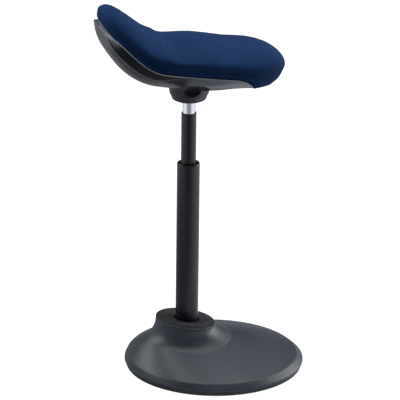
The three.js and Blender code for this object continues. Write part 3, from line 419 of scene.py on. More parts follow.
def cover_rows(inset, rise, face_steps=10, cove_steps=18):
    """Crease, face, foot line and cove up to the hub's edge.

    The face is a straight run from crease to foot line with a parabola's swell. The cove is a
    quadratic curve whose middle point is level with the foot line ahead of the column, and
    carries the face's slope on elsewhere."""
    a = angles(SIDES)
    crease = circle(CREASE_RADIUS - inset, CREASE_HEIGHT - inset, SIDES, CREASE_LEAD)
    foot = foot_ring(inset)
    hub = hub_ring(HUB_RADIUS - inset, rise)
    bulge = blended(FACE_BULGE, FACE_REAR_BULGE, smooth(-np.cos(a), 0.2, 1.0))
    rows = [crease]
    for share in np.linspace(0, 1, face_steps + 1)[1:-1]:
        row = blended(crease, foot, share)
        row[:, 2] += bulge * 4 * share * (1 - share)
        rows.append(row)
    reach = np.hypot(*(foot - hub)[:, :2].T)
    run = np.hypot(*(crease - foot)[:, :2].T)
    soft = foot[:, 2] + COVE_SLOPE * reach * (foot[:, 2] - crease[:, 2]) / run
    crisp = smooth(np.cos(a), 0.2, 0.7)
    bend = hub.copy()
    bend[:, 2] = blended(np.minimum(soft, hub[:, 2]), foot[:, 2] + FLARE_RISE, crisp)
    for t in np.linspace(0, 1, cove_steps + 1):
        rows.append((1 - t) ** 2 * foot + 2 * t * (1 - t) * bend + t ** 2 * hub)
    return rows, len(rows) - cove_steps - 1


def base_cover():
    ledge = -COLLAR_THICKNESS - 0.3
    face, foot_at = cover_rows(0.0, ledge)
    outer = [circle(BASE_RADIUS, TRAY_HEIGHT, SIDES, BASE_LEAD),
             circle(BASE_RADIUS, RIM_SHOULDER, SIDES, BASE_LEAD)] + face
    inner_radius = HUB_RADIUS - COLLAR_WIDTH - LEDGE
    mouth = [hub_ring(inner_radius, ledge), hub_ring(inner_radius, ledge - COVER_WALL)]
    inside, _ = cover_rows(COVER_WALL, ledge - COVER_WALL, 3, 5)
    inside = inside[::-1] + [circle(BASE_RADIUS - COVER_WALL, TRAY_HEIGHT, SIDES, BASE_LEAD)]
    rows = outer + mouth + inside
    radii = {0: 0.4, 1: 1.5, 2: 1.6, 2 + foot_at: 0.8, 1 + len(face): 0.8}
    return mesh_of("base_cover_moulding", rounded(rows, radii))


cover_mesh = base_cover()
shade(cover_mesh)
piece("base_cover_moulding", cover_mesh, "cover_plastic", "base", ["base_cover"])

foot = BASE_RADIUS - TRAY_FLARE
tray_profile = [(foot - 1.2, 0), (foot, 1.2), (BASE_RADIUS, TRAY_HEIGHT),
                (BASE_RADIUS - TRAY_WALL, TRAY_HEIGHT), (foot - TRAY_WALL, TRAY_FLOOR)]
tray_rows = lathe(tray_profile, {0: 0.6, 1: 0.8, 2: 0.9, 3: 0.6, 4: 1.0}, SIDES, 3, BASE_LEAD)
tray_mesh = mesh_of("rubber_foot_tray", tray_rows, [BASE_LEAD, 0, 0], [BASE_LEAD, 0, TRAY_FLOOR])
shade(tray_mesh)
piece("rubber_foot_tray", tray_mesh, "rubber", "base", ["foot_tray"])

# %% [markdown]
# ## Collar and boot
# The collar is a flat ring let into the hub. The soft boot inside it stands a little proud, rolls
# over at its edge and dips towards the hole, which is bored upright round the tilted disc.

# %% Collar and boot
COLUMN_RADIUS, SWAY_ROOM = 25.0, 2.5


def collar():
    outer, inner = HUB_RADIUS, HUB_RADIUS - COLLAR_WIDTH
    rows = [hub_ring(inner, -COLLAR_THICKNESS), hub_ring(outer, -COLLAR_THICKNESS),
            hub_ring(outer, 0.0), hub_ring(inner, 0.0)]
    return mesh_of("hub_collar", rounded(rows, {0: 0.3, 1: 0.3, 2: 1.1, 3: 0.9}))


def boot():
    """Rings from the rolled edge in to the hole, whose points lie on the tilted top plane."""
    outer = HUB_RADIUS - COLLAR_WIDTH - 0.3
    hole = COLUMN_RADIUS + SWAY_ROOM
    c, s = math.cos(HUB_TILT), math.sin(HUB_TILT)

    def bore(rise, radius=hole):
        ring = circle(radius, 0.0, SIDES)
        local = (ring[:, 0] - HUB_LEAD - rise * s) / c
        ring[:, 2] = -local * s + rise * c + HUB_HEIGHT
        return ring

    rows = [hub_ring(outer, -COLLAR_THICKNESS), hub_ring(outer, 2.6), hub_ring(hole + 9, 2.2),
            bore(1.5), bore(-COLLAR_THICKNESS)]
    return mesh_of("column_boot", rounded(rows, {0: 0.4, 1: 2.6, 2: 3.0, 3: 0.8, 4: 0.4}, 6))


collar_mesh = collar()
shade(collar_mesh)
piece("hub_collar", collar_mesh, "collar_plastic", "base", ["collar_ring"])
boot_mesh = boot()
shade(boot_mesh)
piece("column_boot", boot_mesh, "rubber", "base", ["hub_boot"])

# %% [markdown]
# ## Column
# Three turned tubes, each with the guide bush of the next one in its mouth.

# %% Column


def turned_piece(name, profile, radii, slot, body, node, sides=128):
    mesh = mesh_of(name, lathe(profile, radii, sides))
    shade(mesh)
    return piece(name, mesh, slot, body, [node])


turned_piece("outer_column_tube",
             [(5.3, 44), (25, 44), (25, 473), (23, 473), (23, 50), (5.3, 50)],
             {1: 1.0}, "tube_paint", "column", "outer_tube")
turned_piece("outer_guide",
             [(16.8, 439), (22.7, 439), (22.7, 473), (25, 473), (25, 479), (16.8, 479)],
             {3: 0.25, 4: 3.4, 5: 0.8}, "guide_plastic", "column", "outer_guide_bush")
turned_piece("middle_column_tube",
             [(15.3, 165), (16.5, 165), (16.5, 591), (15.3, 591)],
             {}, "tube_paint", "middle", "middle_tube")
turned_piece("middle_guide",
             [(14.3, 563), (15.0, 563), (15.0, 591), (16.5, 591), (16.5, 595), (14.3, 595)],
             {3: 0.2, 4: 0.9, 5: 0.3}, "guide_plastic", "middle", "middle_guide_bush")
turned_piece("chrome_cylinder",
             [(5.3, 195), (14, 195), (14, 629), (13.2, 655), (4.3, 655), (4.3, 627),
              (12.5, 627), (12.5, 203), (5.3, 203)],
             {1: 0.5, 3: 0.4}, "chrome", "seat", "gas_cylinder")

# %% [markdown]
# ## Seat line and hull
# The seat has its own coordinates: a distance along a line that runs from the tail to the nose, a
# distance to the sitter's left, and a height square to the line. The line is straight over the
# column, bends up into the tail and down into the nose.

# %% Seat coordinates
SEAT_HEIGHT, SEAT_PITCH = 710.0, math.radians(9)
STRAIGHT_REAR, STRAIGHT_FRONT = 77.0, 70.0
TAIL_RADIUS, TAIL_LENGTH, TAIL_END_RADIUS, NOSE_RADIUS = 130.0, 75.0, 405.0, 230.0
SEAT_REAR, SEAT_FRONT, SEAT_HALF = 244.5, 212.0, 106.0
LENGTH_POWER, WIDTH_POWER = 2.7, 2.3
HULL_DEPTH, SHELL_FRONT = 52.0, 156.0
LIP_HEIGHT, BAND_HEIGHT, BAND_TIP = 1.5, 17.0, 7.5
LIP_SWELL, LIP_WIDTH, TIP_LEAN = 5.0, 6.0, 5.0

line_along = np.linspace(-280, 240, 5201)
line_angle = (-SEAT_PITCH
              - np.maximum(line_along - STRAIGHT_FRONT, 0) / NOSE_RADIUS
              - np.clip(-line_along - STRAIGHT_REAR, 0, TAIL_LENGTH) / TAIL_RADIUS
              - np.maximum(-line_along - STRAIGHT_REAR - TAIL_LENGTH, 0) / TAIL_END_RADIUS)
line_step = line_along[1] - line_along[0]


def summed(values):
    """The running trapezoid sum of a rate along the seat line, zero over the column."""
    total = np.concatenate([[0.0], np.cumsum((values[1:] + values[:-1]) / 2 * line_step)])
    return total - np.interp(0.0, line_along, total)


line_x = summed(np.cos(line_angle))
line_z = SEAT_HEIGHT + summed(np.sin(line_angle))


def seat_point(along, across, rise):
    """Seat coordinates to the frame's, in millimetres."""
    x = np.interp(along, line_along, line_x)
    z = np.interp(along, line_along, line_z)
    angle = np.interp(along, line_along, line_angle)
    across = np.broadcast_to(across, np.shape(x))
    return np.stack([x - rise * np.sin(angle), across, z + rise * np.cos(angle)], -1)


def seat_coordinates(points):
    """The frame's points to seat coordinates: the nearest place on the line, by its normal."""
    along = points[:, 0].copy()
    for _ in range(12):
        x = np.interp(along, line_along, line_x)
        z = np.interp(along, line_along, line_z)
        angle = np.interp(along, line_along, line_angle)
        error = (points[:, 0] - x) * np.cos(angle) + (points[:, 2] - z) * np.sin(angle)
        along = np.clip(along + 0.7 * error, -279, 239)
    x = np.interp(along, line_along, line_x)
    z = np.interp(along, line_along, line_z)
    angle = np.interp(along, line_along, line_angle)
    rise = -(points[:, 0] - x) * np.sin(angle) + (points[:, 2] - z) * np.cos(angle)
    return along, points[:, 1], rise


def end_length(along):
    return np.where(along < 0, SEAT_REAR, SEAT_FRONT)


def outline(a):
    """The line where fabric meets shell: a superellipse with a longer rear half."""
    c, s = np.cos(a), np.sin(a)
    along = end_length(c) * np.sign(c) * np.abs(c) ** (2 / LENGTH_POWER)
    across = SEAT_HALF * np.sign(s) * np.abs(s) ** (2 / WIDTH_POWER)
    return along, across


def half_width(along):
    share = np.minimum(1.0, np.abs(along) / end_length(along))
    return SEAT_HALF * (1 - share ** LENGTH_POWER) ** (1 / WIDTH_POWER)


def band_at(along):
    rise = smooth(-along, 20.0, 110.0)
    fall = smooth(-along, 190.0, SEAT_REAR)
    return blended(LIP_HEIGHT, blended(BAND_HEIGHT, BAND_TIP, fall), rise)


def keel(along):
    rear = HULL_DEPTH * (1 - np.minimum(1.0, np.abs(along) / SEAT_REAR) ** 2)
    front = HULL_DEPTH * (1 - 0.9 * (along / 185.0) ** 2)
    return np.where(along < 0, rear, front)


def hull_rise(along, across, inset=0.0):
    width = half_width(along)
    share = np.where(width > 0, np.minimum(1.0, np.abs(across) / np.maximum(width, 1e-9)), 1.0)
    band = band_at(along)
    depth = keel(along) * (1 - share ** 3)
    wall = inset * (1 + 0.7 * share ** 3)
    return wall - band - depth * (1 - band / HULL_DEPTH)


def nose_share(a):
    return smooth(np.cos(a), 0.28, 1.0)


def shell_share(a):
    return 1 - nose_share(a) * (1 - SHELL_FRONT / SEAT_FRONT)


def lip_lift(a):
    """The lip stands a little higher beside the tail than the even band."""
    back = -np.cos(a)
    return LIP_SWELL * smooth(back, 0.2, 0.55) * (1 - 0.6 * smooth(back, 0.65, 0.95))


def drawn_in(along, across, inset):
    return along * (1 - inset / end_length(along)), across * (1 - inset / SEAT_HALF)


print("seat line from", np.round([line_x[300], line_z[300]], 1), "to", np.round([line_x[-300], line_z[-300]], 1))

# %% [markdown]
# ## Seat shell
# The hull's sides slope in to the keel. Round the tail they end at a crease under an upright band
# that carries the lip. The finger dish, the opening over the cup and four screw holes are cut in.

# %% Seat shell


def hull_rows(inset, count, steps):
    a = angles(count)
    along, across = outline(a)
    rows = []
    for k in range(1, steps + 1):
        share = math.sin(math.pi / 2 * k / steps) * shell_share(a)
        u, v = share * along, share * across
        rise = hull_rise(u, v, inset)
        if inset:
            u, v = drawn_in(u, v, inset)
        rows.append(seat_point(u, v, rise))
    return rows


def lip_row(inset, count, lift=0.0):
    a = angles(count)
    along, across = outline(a)
    u, v = shell_share(a) * along, shell_share(a) * across
    rise = hull_rise(u, v) + band_at(u) + lift + lip_lift(a)
    lean = inset + TIP_LEAN * smooth(-np.cos(a), 0.6, 1.0)
    return seat_point(*drawn_in(u, v, lean), rise)


def temporary(name, mesh):
    obj = bpy.data.objects.new(name, mesh)
    bpy.context.scene.collection.objects.link(obj)
    return obj


def combined(base, steps):
    """A mesh cut, joined or trimmed by others in turn, with the helpers removed afterwards."""
    helpers = []
    for operation, mesh in steps:
        tool = temporary("tool", mesh)
        helpers.append(tool)
        modifier = base.modifiers.new(operation, "BOOLEAN")
        modifier.operation = operation
        modifier.solver = "EXACT"
        modifier.object = tool
    graph = bpy.context.evaluated_depsgraph_get()
    graph.update()
    result = bpy.data.meshes.new_from_object(base.evaluated_get(graph))
    for obj in helpers + [base]:
        bpy.data.objects.remove(obj)
    return result


def rod_mesh(radius, bottom, top, sides=48, place=None, tilt=0.0):
    """A closed cylinder, upright or square on the seat line."""
    rows = [circle(radius, bottom, sides), circle(radius, top, sides)]
    low, high = np.array([0, 0, bottom], float), np.array([0, 0, top], float)
    if place is not None:
        c, s = math.cos(tilt), math.sin(tilt)

        def moved(p):
            p = np.atleast_2d(p)
            return np.stack([p[:, 0] * c - p[:, 2] * s + place[0], p[:, 1] + place[1],
                             p[:, 0] * s + p[:, 2] * c + place[2]], -1)

        rows = [moved(r) for r in rows]
        low, high = moved(low)[0], moved(high)[0]
    return mesh_of("rod", rows, low, high)


SCOOP_PLACE = np.array([-6.0, -66.0, 664.0])
SCOOP, SCOOP_FLAT = 34.0, 0.76


def scoop_mesh(radius):
    """The finger dish: a sphere flattened in height."""
    count = 96
    rows = []
    for k in range(1, 48):
        t = math.pi * k / 48
        rows.append(circle(radius * math.sin(t), -SCOOP_FLAT * radius * math.cos(t), count) + SCOOP_PLACE)
    pole = np.array([0, 0, SCOOP_FLAT * radius])
    return mesh_of("scoop", rows, SCOOP_PLACE - pole, SCOOP_PLACE + pole)


def on_line(along):
    return float(np.interp(along, line_along, line_angle))


def seat_shell():
    count = 224
    outer = hull_rows(0.0, count, 34)
    crease_at = len(outer) - 1
    rows = outer + [lip_row(0.0, count), lip_row(LIP_WIDTH, count)]
    rows = rounded(rows, {crease_at: 2.6, crease_at + 1: 2.7, crease_at + 2: 1.0}, 6)
    rows += hull_rows(3.0, count, 12)[::-1]
    body = temporary("shell", mesh_of("shell", rows, seat_point(0.0, 0.0, -HULL_DEPTH),
                                      seat_point(0.0, 0.0, 3 - HULL_DEPTH)))
    steps = [("DIFFERENCE", rod_mesh(40.0, 626.0, 710.0, 96)),
             ("DIFFERENCE", scoop_mesh(SCOOP + 3.3))]
    for along in (-95.0, 95.0):
        for across in (-58.0, 58.0):
            place = seat_point(along, across, 0.0)
            steps.append(("DIFFERENCE", rod_mesh(5.0, -104.0, -20.0, 40, place, on_line(along))))
    return combined(body, steps)


# Half width of the painted highlight, and its strength on the crease.
EDGE_HALF, CREASE_SHARE = 2.2, 0.45


def painted_highlight_attribute(mesh):
    """Where the painted highlight goes: how near a point lies to the lip's edge or the crease, 1 on the line, 0
    past its half width.
    """
    points = np.empty(len(mesh.vertices) * 3)
    mesh.vertices.foreach_get("co", points)
    along, across, rise = seat_coordinates(points.reshape(-1, 3) / MM)
    ring = np.arctan2(np.sign(across) * (np.abs(across) / SEAT_HALF) ** (WIDTH_POWER / 2),
                      np.sign(along) * (np.abs(along) / end_length(along)) ** (LENGTH_POWER / 2))
    lip = hull_rise(along, across) + band_at(along) + lip_lift(ring)
    size = np.hypot(np.abs(across) / SEAT_HALF, np.abs(along) / end_length(along))
    top = 1 - smooth(np.abs(rise - lip), 0.4 * EDGE_HALF, EDGE_HALF)
    reach = (np.abs(along) / end_length(along)) ** LENGTH_POWER \
        + (np.abs(across) / SEAT_HALF) ** WIDTH_POWER
    below = np.abs(rise - hull_rise(along, across)) < 1.5
    crease = smooth(reach, 0.975, 0.99) * below * smooth(-along, 20.0, 90.0) * CREASE_SHARE
    data = np.maximum(top * (size > 0.8), crease)
    layer = mesh.attributes.new("painted_highlight", "FLOAT", "POINT")
    layer.data.foreach_set("value", data)
    print("points on the parting line", int((data > 0.5).sum()))


shell_mesh = seat_shell()
# The attribute places the shell's painted highlight along the lip and crease.
painted_highlight_attribute(shell_mesh)
shade(shell_mesh, 28)
piece("seat_hull_moulding", shell_mesh, "shell_plastic", "seat", ["seat_shell"])

# %% [markdown]
# ## Mechanism housing
# A tapered cup with rounded steps, trimmed to the hull's underside, with the finger dish pressed
# into its near side and a window behind it for the paddle.

# %% Mechanism housing


def housing():
    profile = [(31, 626), (37.4, 629), (39.6, 636), (43, 642), (48, 676), (45, 676), (40, 642), (29.5, 631)]
    radii = {0: 1.6, 1: 1.4, 2: 1.8, 3: 2.5}
    rows = lathe(profile, radii, 160, 5)
    wall = temporary("cup", mesh_of("cup", rows, [0, 0, 626], [0, 0, 631]))
    solid_rows = lathe(profile[:5], radii, 160, 5)
    solid = mesh_of("whole_cup", solid_rows, [0, 0, 626], [0, 0, 676])
    count = 160
    under = hull_rows(0.0, count, 24) + [lip_row(0.0, count)]
    hull = mesh_of("hull", under, seat_point(0.0, 0.0, -HULL_DEPTH), seat_point(0.0, 0.0, 0.0))
    inset = [row + (0.0, 0.0, -0.3) for row in under]
    clear = mesh_of("clear", inset, seat_point(0.0, 0.0, -HULL_DEPTH - 0.3), seat_point(0.0, 0.0, -0.3))
    dish = temporary("dish", scoop_mesh(SCOOP + 3))
    reach = combined(temporary("reach", solid), [("UNION", hull)])
    dish = combined(dish, [("INTERSECT", reach)])
    window = bpy.data.meshes.new("window")
    corners = np.array([[x, y, z] for z in (650, 676) for y in (-52, 0) for x in (-11.6, 11.6)], float)
    window.from_pydata((corners * MM).tolist(), [], [
        (0, 2, 3, 1), (4, 5, 7, 6), (0, 1, 5, 4), (2, 6, 7, 3), (0, 4, 6, 2), (1, 3, 7, 5)])
    return combined(wall, [("DIFFERENCE", clear), ("UNION", dish), ("DIFFERENCE", scoop_mesh(SCOOP)),
                           ("DIFFERENCE", window), ("DIFFERENCE", rod_mesh(14.3, 620.0, 655.0, 96))])


housing_mesh = housing()
shade(housing_mesh, 28)
# The cup takes the paler copy of the shell's black: painted light in the shaded dish.
piece("cup_housing", housing_mesh, "shell_plastic", "seat", ["mechanism_housing"],
      MATERIALS["cup_lightened"])

# %% [markdown]
# ## Release paddle
# The paddle's finger face carries the dish's curve on, so that the hollow looks whole at rest. It
# is a patch between two flattened spheres, joined to the lever's own arm and hub.

# %% Release paddle


def block(low, high):
    corners = np.array([[x, y, z] for z in (low[2], high[2]) for y in (low[1], high[1])
                        for x in (low[0], high[0])], float)
    mesh = bpy.data.meshes.new("block")
    mesh.from_pydata((corners * MM).tolist(), [], [
        (0, 2, 3, 1), (4, 5, 7, 6), (0, 1, 5, 4), (2, 6, 7, 3), (0, 4, 6, 2), (1, 3, 7, 5)])
    return mesh


def paddle():
    lever = frame["nodes"]["release_paddle"].data.copy()
    form = bmesh.new()
    form.from_mesh(lever)
    bmesh.ops.remove_doubles(form, verts=form.verts, dist=1e-6)
    form.to_mesh(lever)
    form.free()
    arm = combined(temporary("arm", lever), [("INTERSECT", block((-30, -31, 600), (30, 30, 720)))])
    face = temporary("face", block((-11, -52, 650.7), (11, -10, 669)))
    return combined(face, [("INTERSECT", scoop_mesh(SCOOP + 2.6)), ("DIFFERENCE", scoop_mesh(SCOOP + 0.2)),
                           ("UNION", arm)])


paddle_slot = [part["material_slot"] for part in frame["record"]["subparts"]
               if part["node"] == "release_paddle"][0]
paddle_mesh = paddle()
shade(paddle_mesh, 28)
# The paddle takes the same paler copy: painted light in the shaded dish.
piece("finger_paddle", paddle_mesh, paddle_slot, "paddle", ["release_paddle"],
      MATERIALS["cup_lightened"])

# %% [markdown]
# ## Cushion
# The fabric starts in a hem on the shell's lip, runs out to its widest line and over the crown. At
# the nose the sides reach ahead and wrap under. The form is filled by a short cloth simulation.

# %% Cushion form


CROWN, WAIST_CROWN, TAIL_CROWN, NOSE_CROWN = 53.6, 40.2, 57.6, 85.0
BULGE, TAIL_OVERHANG, TAIL_UNDERCUT, SIDE_UNDERCUT = 3.4, 15.0, 10.0, 0.6
WIDEST_RISE, TAIL_END_RISE, NOSE_RISE = 27.0, 23.0, 19.0
HEM_INSET, HEM_TAIL, TAIL_FULLNESS = 1.6, -1.5, 6.0
NOSE_SET_BACK, NOSE_REACH, NOSE_DROP = 23.9, 16.6, 4.5
CROWN_POWER, NOSE_POWER, TAIL_POWER = 2.3, 6.3, 5.8


def crown_at(along):
    waist = smooth(-along, -20.0, 70.0)
    tail = smooth(-along, 42.0, 97.0)
    nose = smooth(along, 75.0, 200.0)
    return CROWN + (WAIST_CROWN - CROWN) * waist + (TAIL_CROWN - WAIST_CROWN) * tail \
        + (NOSE_CROWN - CROWN) * nose


def hem_rise(a):
    along, across = outline(a)
    share = shell_share(a)
    return hull_rise(share * along, share * across) + band_at(share * along) + lip_lift(a) + 0.4 \
        - NOSE_DROP * smooth(nose_share(a), 0.05, 0.5)


def hem_row(a, margin, rise, reach=1.0):
    along, across = outline(a)
    share = shell_share(a)
    inset = blended(HEM_INSET, HEM_TAIL, smooth(-np.cos(a), 0.6, 0.95))
    gap = nose_share(a) - margin - inset * (1 - smooth(nose_share(a), 0.0, 0.3))
    u = along * (share + gap / end_length(along))
    v = across * (share + gap / SEAT_HALF)
    return seat_point(reach * u, reach * v, rise)


def undercut(a):
    """Depth of the channel over the lip: deep beside the tail, none at its end or the nose."""
    back = -np.cos(a)
    tail = smooth(back, 0.08, 0.28) * (1 - smooth(back, 0.7, 0.97))
    return SIDE_UNDERCUT * (1 - smooth(-back, 0.2, 0.6)) * (1 - smooth(back, 0.7, 0.97)) \
        + (TAIL_UNDERCUT - SIDE_UNDERCUT) * tail


def widest(a):
    """The line where sides meet crown. Beside the tail it runs over an undercut; at the tail's end it stands out
    and runs a little lower, and at the nose higher.
    """
    along, across = outline(a)
    nose = nose_share(a)
    end = smooth(-np.cos(a), 0.35, 0.97)
    out = BULGE + TAIL_OVERHANG * end
    u = along * (1 + out / end_length(along)) - nose * NOSE_SET_BACK
    rise = WIDEST_RISE + nose * NOSE_RISE + end * (TAIL_END_RISE - WIDEST_RISE)
    return u, across * (1 + BULGE / SEAT_HALF), rise


def cushion_rows(count=192, sides=12, crown=26):
    """Underside, sides and crown. The crown's height is a superellipse of the way in from the edge."""
    a = angles(count)
    margin = blended(8.0, 0.5, nose_share(a))
    rows = [hem_row(a, margin, 0.6, k / 5) for k in range(1, 6)]
    u, v, edge_rise = widest(a)
    out = np.array([1.0, 0.0, -1.0]) / math.sqrt(2)
    for k in range(sides):
        t = k / sides
        tuck = (undercut(a) - TAIL_FULLNESS * smooth(-np.cos(a), 0.7, 0.97)) * math.sin(math.pi * t)
        low = hem_row(a, tuck, hem_rise(a))
        high = seat_point(*drawn_in(u, v, tuck), edge_rise)
        reach = NOSE_REACH * nose_share(a) * math.sin(math.pi * t)
        rows.append(blended(low, high, t) + reach[:, None] * out)
    power = CROWN_POWER + (NOSE_POWER - CROWN_POWER) * smooth(np.cos(a), 0.4, 1.0) \
        + (TAIL_POWER - CROWN_POWER) * smooth(-np.cos(a), 0.4, 1.0)
    for k in range(crown):
        share = math.cos(math.pi / 2 * k / crown)
        lift = np.sqrt(np.maximum(0.0, 1 - share ** power))
        rise = blended(edge_rise, crown_at(share * u), lift)
        rows.append(seat_point(share * u, share * v, rise))
    return rows, seat_point(0.0, 0.0, 0.6), seat_point(0.0, 0.0, CROWN)


cushion_grid, cushion_low, cushion_high = cushion_rows()
form = mesh_of("seat_cushion", cushion_grid, cushion_low, cushion_high)
print("cushion form", len(form.vertices))


# %% [markdown]
# The filled shape: the form is remeshed at 4 mm, drawn in by about a millimetre, and blown up by the cloth's
# pressure with its underside and hem held. No point moves further than the cap.

# %% Cushion simulation
DRAW_IN, MOVE_LOW, MOVE_CAP, PRESSURE, EVENING = 1.8, 1.0, 3.4, 4.0, 90
HELD_BELOW, FREE_ABOVE = 3.0, 9.0


def coordinates(mesh):
    co = np.empty(len(mesh.vertices) * 3)
    mesh.vertices.foreach_get("co", co)
    return co.reshape(-1, 3)


def normals(mesh):
    co = np.empty(len(mesh.vertices) * 3)
    mesh.vertex_normals.foreach_get("vector", co)
    return co.reshape(-1, 3)


def set_coordinates(mesh, co):
    mesh.vertices.foreach_set("co", np.ascontiguousarray(co, float).ravel())
    mesh.update()


def edges(mesh):
    pairs = np.empty(len(mesh.edges) * 2, np.int32)
    mesh.edges.foreach_get("vertices", pairs)
    return pairs.reshape(-1, 2)


def evened(pairs, values, repeats):
    """Each value moved halfway to its neighbours' mean, so that only broad changes stay."""
    count = len(values)
    near = np.bincount(pairs.ravel(), minlength=count)[:, None]
    for _ in range(repeats):
        total = np.stack([np.bincount(pairs[:, 0], values[pairs[:, 1], k], count)
                          + np.bincount(pairs[:, 1], values[pairs[:, 0], k], count)
                          for k in range(values.shape[1])], -1)
        values = 0.5 * (values + total / near)
    return values


def evaluated(obj):
    graph = bpy.context.evaluated_depsgraph_get()
    graph.update()
    return bpy.data.meshes.new_from_object(obj.evaluated_get(graph))


def remeshed(mesh, voxel):
    obj = temporary("remesh", mesh)
    modifier = obj.modifiers.new("voxels", "REMESH")
    modifier.mode = "VOXEL"
    modifier.voxel_size = voxel * MM
    result = evaluated(obj)
    bpy.data.objects.remove(obj)
    return result


def filled(mesh):
    """Cloth pressure on the drawn-in form, and the result with its movement capped."""
    start = coordinates(mesh)
    mesh_edges = edges(mesh)
    along, across, rise = seat_coordinates(start / MM)
    free = smooth(rise, HELD_BELOW, FREE_ABOVE)
    out = normals(mesh)
    start = start - out * (DRAW_IN * MM) * free[:, None]
    set_coordinates(mesh, start)
    obj = temporary("filling", mesh)
    held = obj.vertex_groups.new(name="held")
    for index in np.where(free < 0.02)[0]:
        held.add([int(index)], 1.0, "REPLACE")
    cloth = obj.modifiers.new("cloth", "CLOTH")
    settings = cloth.settings
    settings.quality = 5
    settings.mass = 1.5
    settings.tension_stiffness = 40
    settings.compression_stiffness = 40
    settings.bending_stiffness = 4
    settings.use_pressure = True
    settings.uniform_pressure_force = PRESSURE
    settings.vertex_group_mass = "held"
    settings.effector_weights.gravity = 0.0
    cloth.collision_settings.use_self_collision = False
    for step in range(1, 21):
        bpy.context.scene.frame_set(step)
    result = evaluated(obj)
    end = coordinates(result)
    bpy.data.objects.remove(obj)
    bpy.context.scene.frame_set(1)
    move = end - start
    outward = np.sum(move * out, axis=1)
    kept = np.clip(outward, MOVE_LOW * MM * free, MOVE_CAP * MM * np.maximum(free, 0.01))
    kept = evened(mesh_edges, kept[:, None], EVENING)
    print("simulation swelled", (np.percentile(outward, [5, 50, 95]) / MM).round(2), "mm, kept",
          (np.percentile(kept, [5, 50, 95]) / MM).round(2))
    set_coordinates(result, start + out * kept)
    return result


def told(label, mesh):
    co = coordinates(mesh) / MM
    print(label, len(co), "points, from", co.min(0).round(1), "to", co.max(0).round(1))


told("form", form)
cushion_mesh = remeshed(form, 4.0)
told("remeshed", cushion_mesh)
cushion_mesh = filled(cushion_mesh)


def relaxed(mesh, level=1, repeats=2):
    """A smoothing pass and one subdivision, both applied."""
    obj = temporary("relax", mesh)
    calm = obj.modifiers.new("calm", "SMOOTH")
    calm.factor = 0.5
    calm.iterations = repeats
    finer = obj.modifiers.new("finer", "SUBSURF")
    finer.levels = finer.render_levels = level
    result = evaluated(obj)
    bpy.data.objects.remove(obj)
    return result


cushion_mesh = relaxed(cushion_mesh)
told("relaxed", cushion_mesh)

# %% [markdown]
# Navy wool-like weave. The real yarns are under half a millimetre apart, too fine for the picture,
# so they are drawn at about 1.6 mm, as crossed ribs in the cloth's own coordinates.

# %% Fabric


SEAM_RISES, SEAM_HALF, SEAM_FROM, SEAM_TO, SEAM_DEPTH = (9.0, 15.5), 1.6, -38.0, 118.0, 3.0


def seam(tree):
    """The two seam lines of the side panel, 1 on a line and 0 off it.

    Each is a soft band at its own height over the lip, from the hip's fold to the nose."""
    place = add(tree, "ShaderNodeSeparateXYZ", {
        "Vector": add(tree, "ShaderNodeAttribute", attribute_name="cloth").outputs["Vector"]}).outputs
    lines = []
    for rise in SEAM_RISES:
        off = add(tree, "ShaderNodeMath", {0: place["Z"], 1: rise * MM}, operation="SUBTRACT").outputs[0]
        off = add(tree, "ShaderNodeMath", {0: off}, operation="ABSOLUTE").outputs[0]
        lines.append(add(tree, "ShaderNodeMapRange", {
            "Value": off, "From Min": 0.0, "From Max": SEAM_HALF * MM, "To Min": 1.0, "To Max": 0.0},
            interpolation_type="SMOOTHSTEP").outputs["Result"])
    both = add(tree, "ShaderNodeMath", {0: lines[0], 1: lines[1]}, operation="MAXIMUM").outputs[0]
    for start, end in ((SEAM_FROM - 12, SEAM_FROM), (SEAM_TO + 14, SEAM_TO)):
        ends = add(tree, "ShaderNodeMapRange", {
            "Value": place["X"], "From Min": start * MM, "From Max": end * MM},
            interpolation_type="SMOOTHSTEP").outputs["Result"]
        both = add(tree, "ShaderNodeMath", {0: both, 1: ends}, operation="MULTIPLY").outputs[0]
    return both


def fabric():
    material, tree, shader = blank("navy_wool_weave")
    yarn = add(tree, "ShaderNodeAttribute", attribute_name="cloth").outputs["Vector"]
    warp = add(tree, "ShaderNodeTexWave", {
        "Vector": yarn, "Scale": 200.0, "Distortion": 1.2, "Detail": 2.0, "Detail Scale": 3.0},
        bands_direction="X").outputs["Fac"]
    weft = add(tree, "ShaderNodeTexWave", {
        "Vector": yarn, "Scale": 200.0, "Distortion": 1.2, "Detail": 2.0, "Detail Scale": 3.0},
        bands_direction="Y").outputs["Fac"]
    weave = add(tree, "ShaderNodeMath", {0: warp, 1: weft}, operation="MULTIPLY").outputs[0]
    fibres = noise(tree, 520.0, 5.0, 0.7).outputs["Fac"]
    slow = noise(tree, 22.0, 3.0).outputs["Fac"]
    dark = mixed(tree, spread(tree, slow, 0.0, 1.0), linear("#132a4d"), linear("#162f57"))
    tone = mixed(tree, spread(tree, fibres, 0.0, 0.6), dark, linear("#1d3e6e"))
    valley = mixed(tree, spread(tree, weave, 0.35, 0.0, 0.0, 0.5), tone, linear("#0f2140"))
    line = seam(tree)
    # The seam lines are darkened in colour as well as bumped in: painted shade in their grooves.
    shaded = mixed(tree, spread(tree, line, 0.0, 0.55, 0.0, 1.0), valley, linear("#0a1730"))
    tree.links.new(shaded, shader.inputs["Base Color"])
    shader.inputs["Roughness"].default_value = 0.92
    shader.inputs["Specular IOR Level"].default_value = 0.1
    shader.inputs["Sheen Weight"].default_value = 0.08
    shader.inputs["Sheen Roughness"].default_value = 0.45
    shader.inputs["Sheen Tint"].default_value = linear("#5b74a8")
    both = add(tree, "ShaderNodeMath", {0: weave, 1: fibres}, operation="ADD").outputs[0]
    both = add(tree, "ShaderNodeMath", {0: line, 1: -SEAM_DEPTH, 2: both}, operation="MULTIPLY_ADD").outputs[0]
    bumped(tree, shader, both, 0.55, 0.0005)
    return material


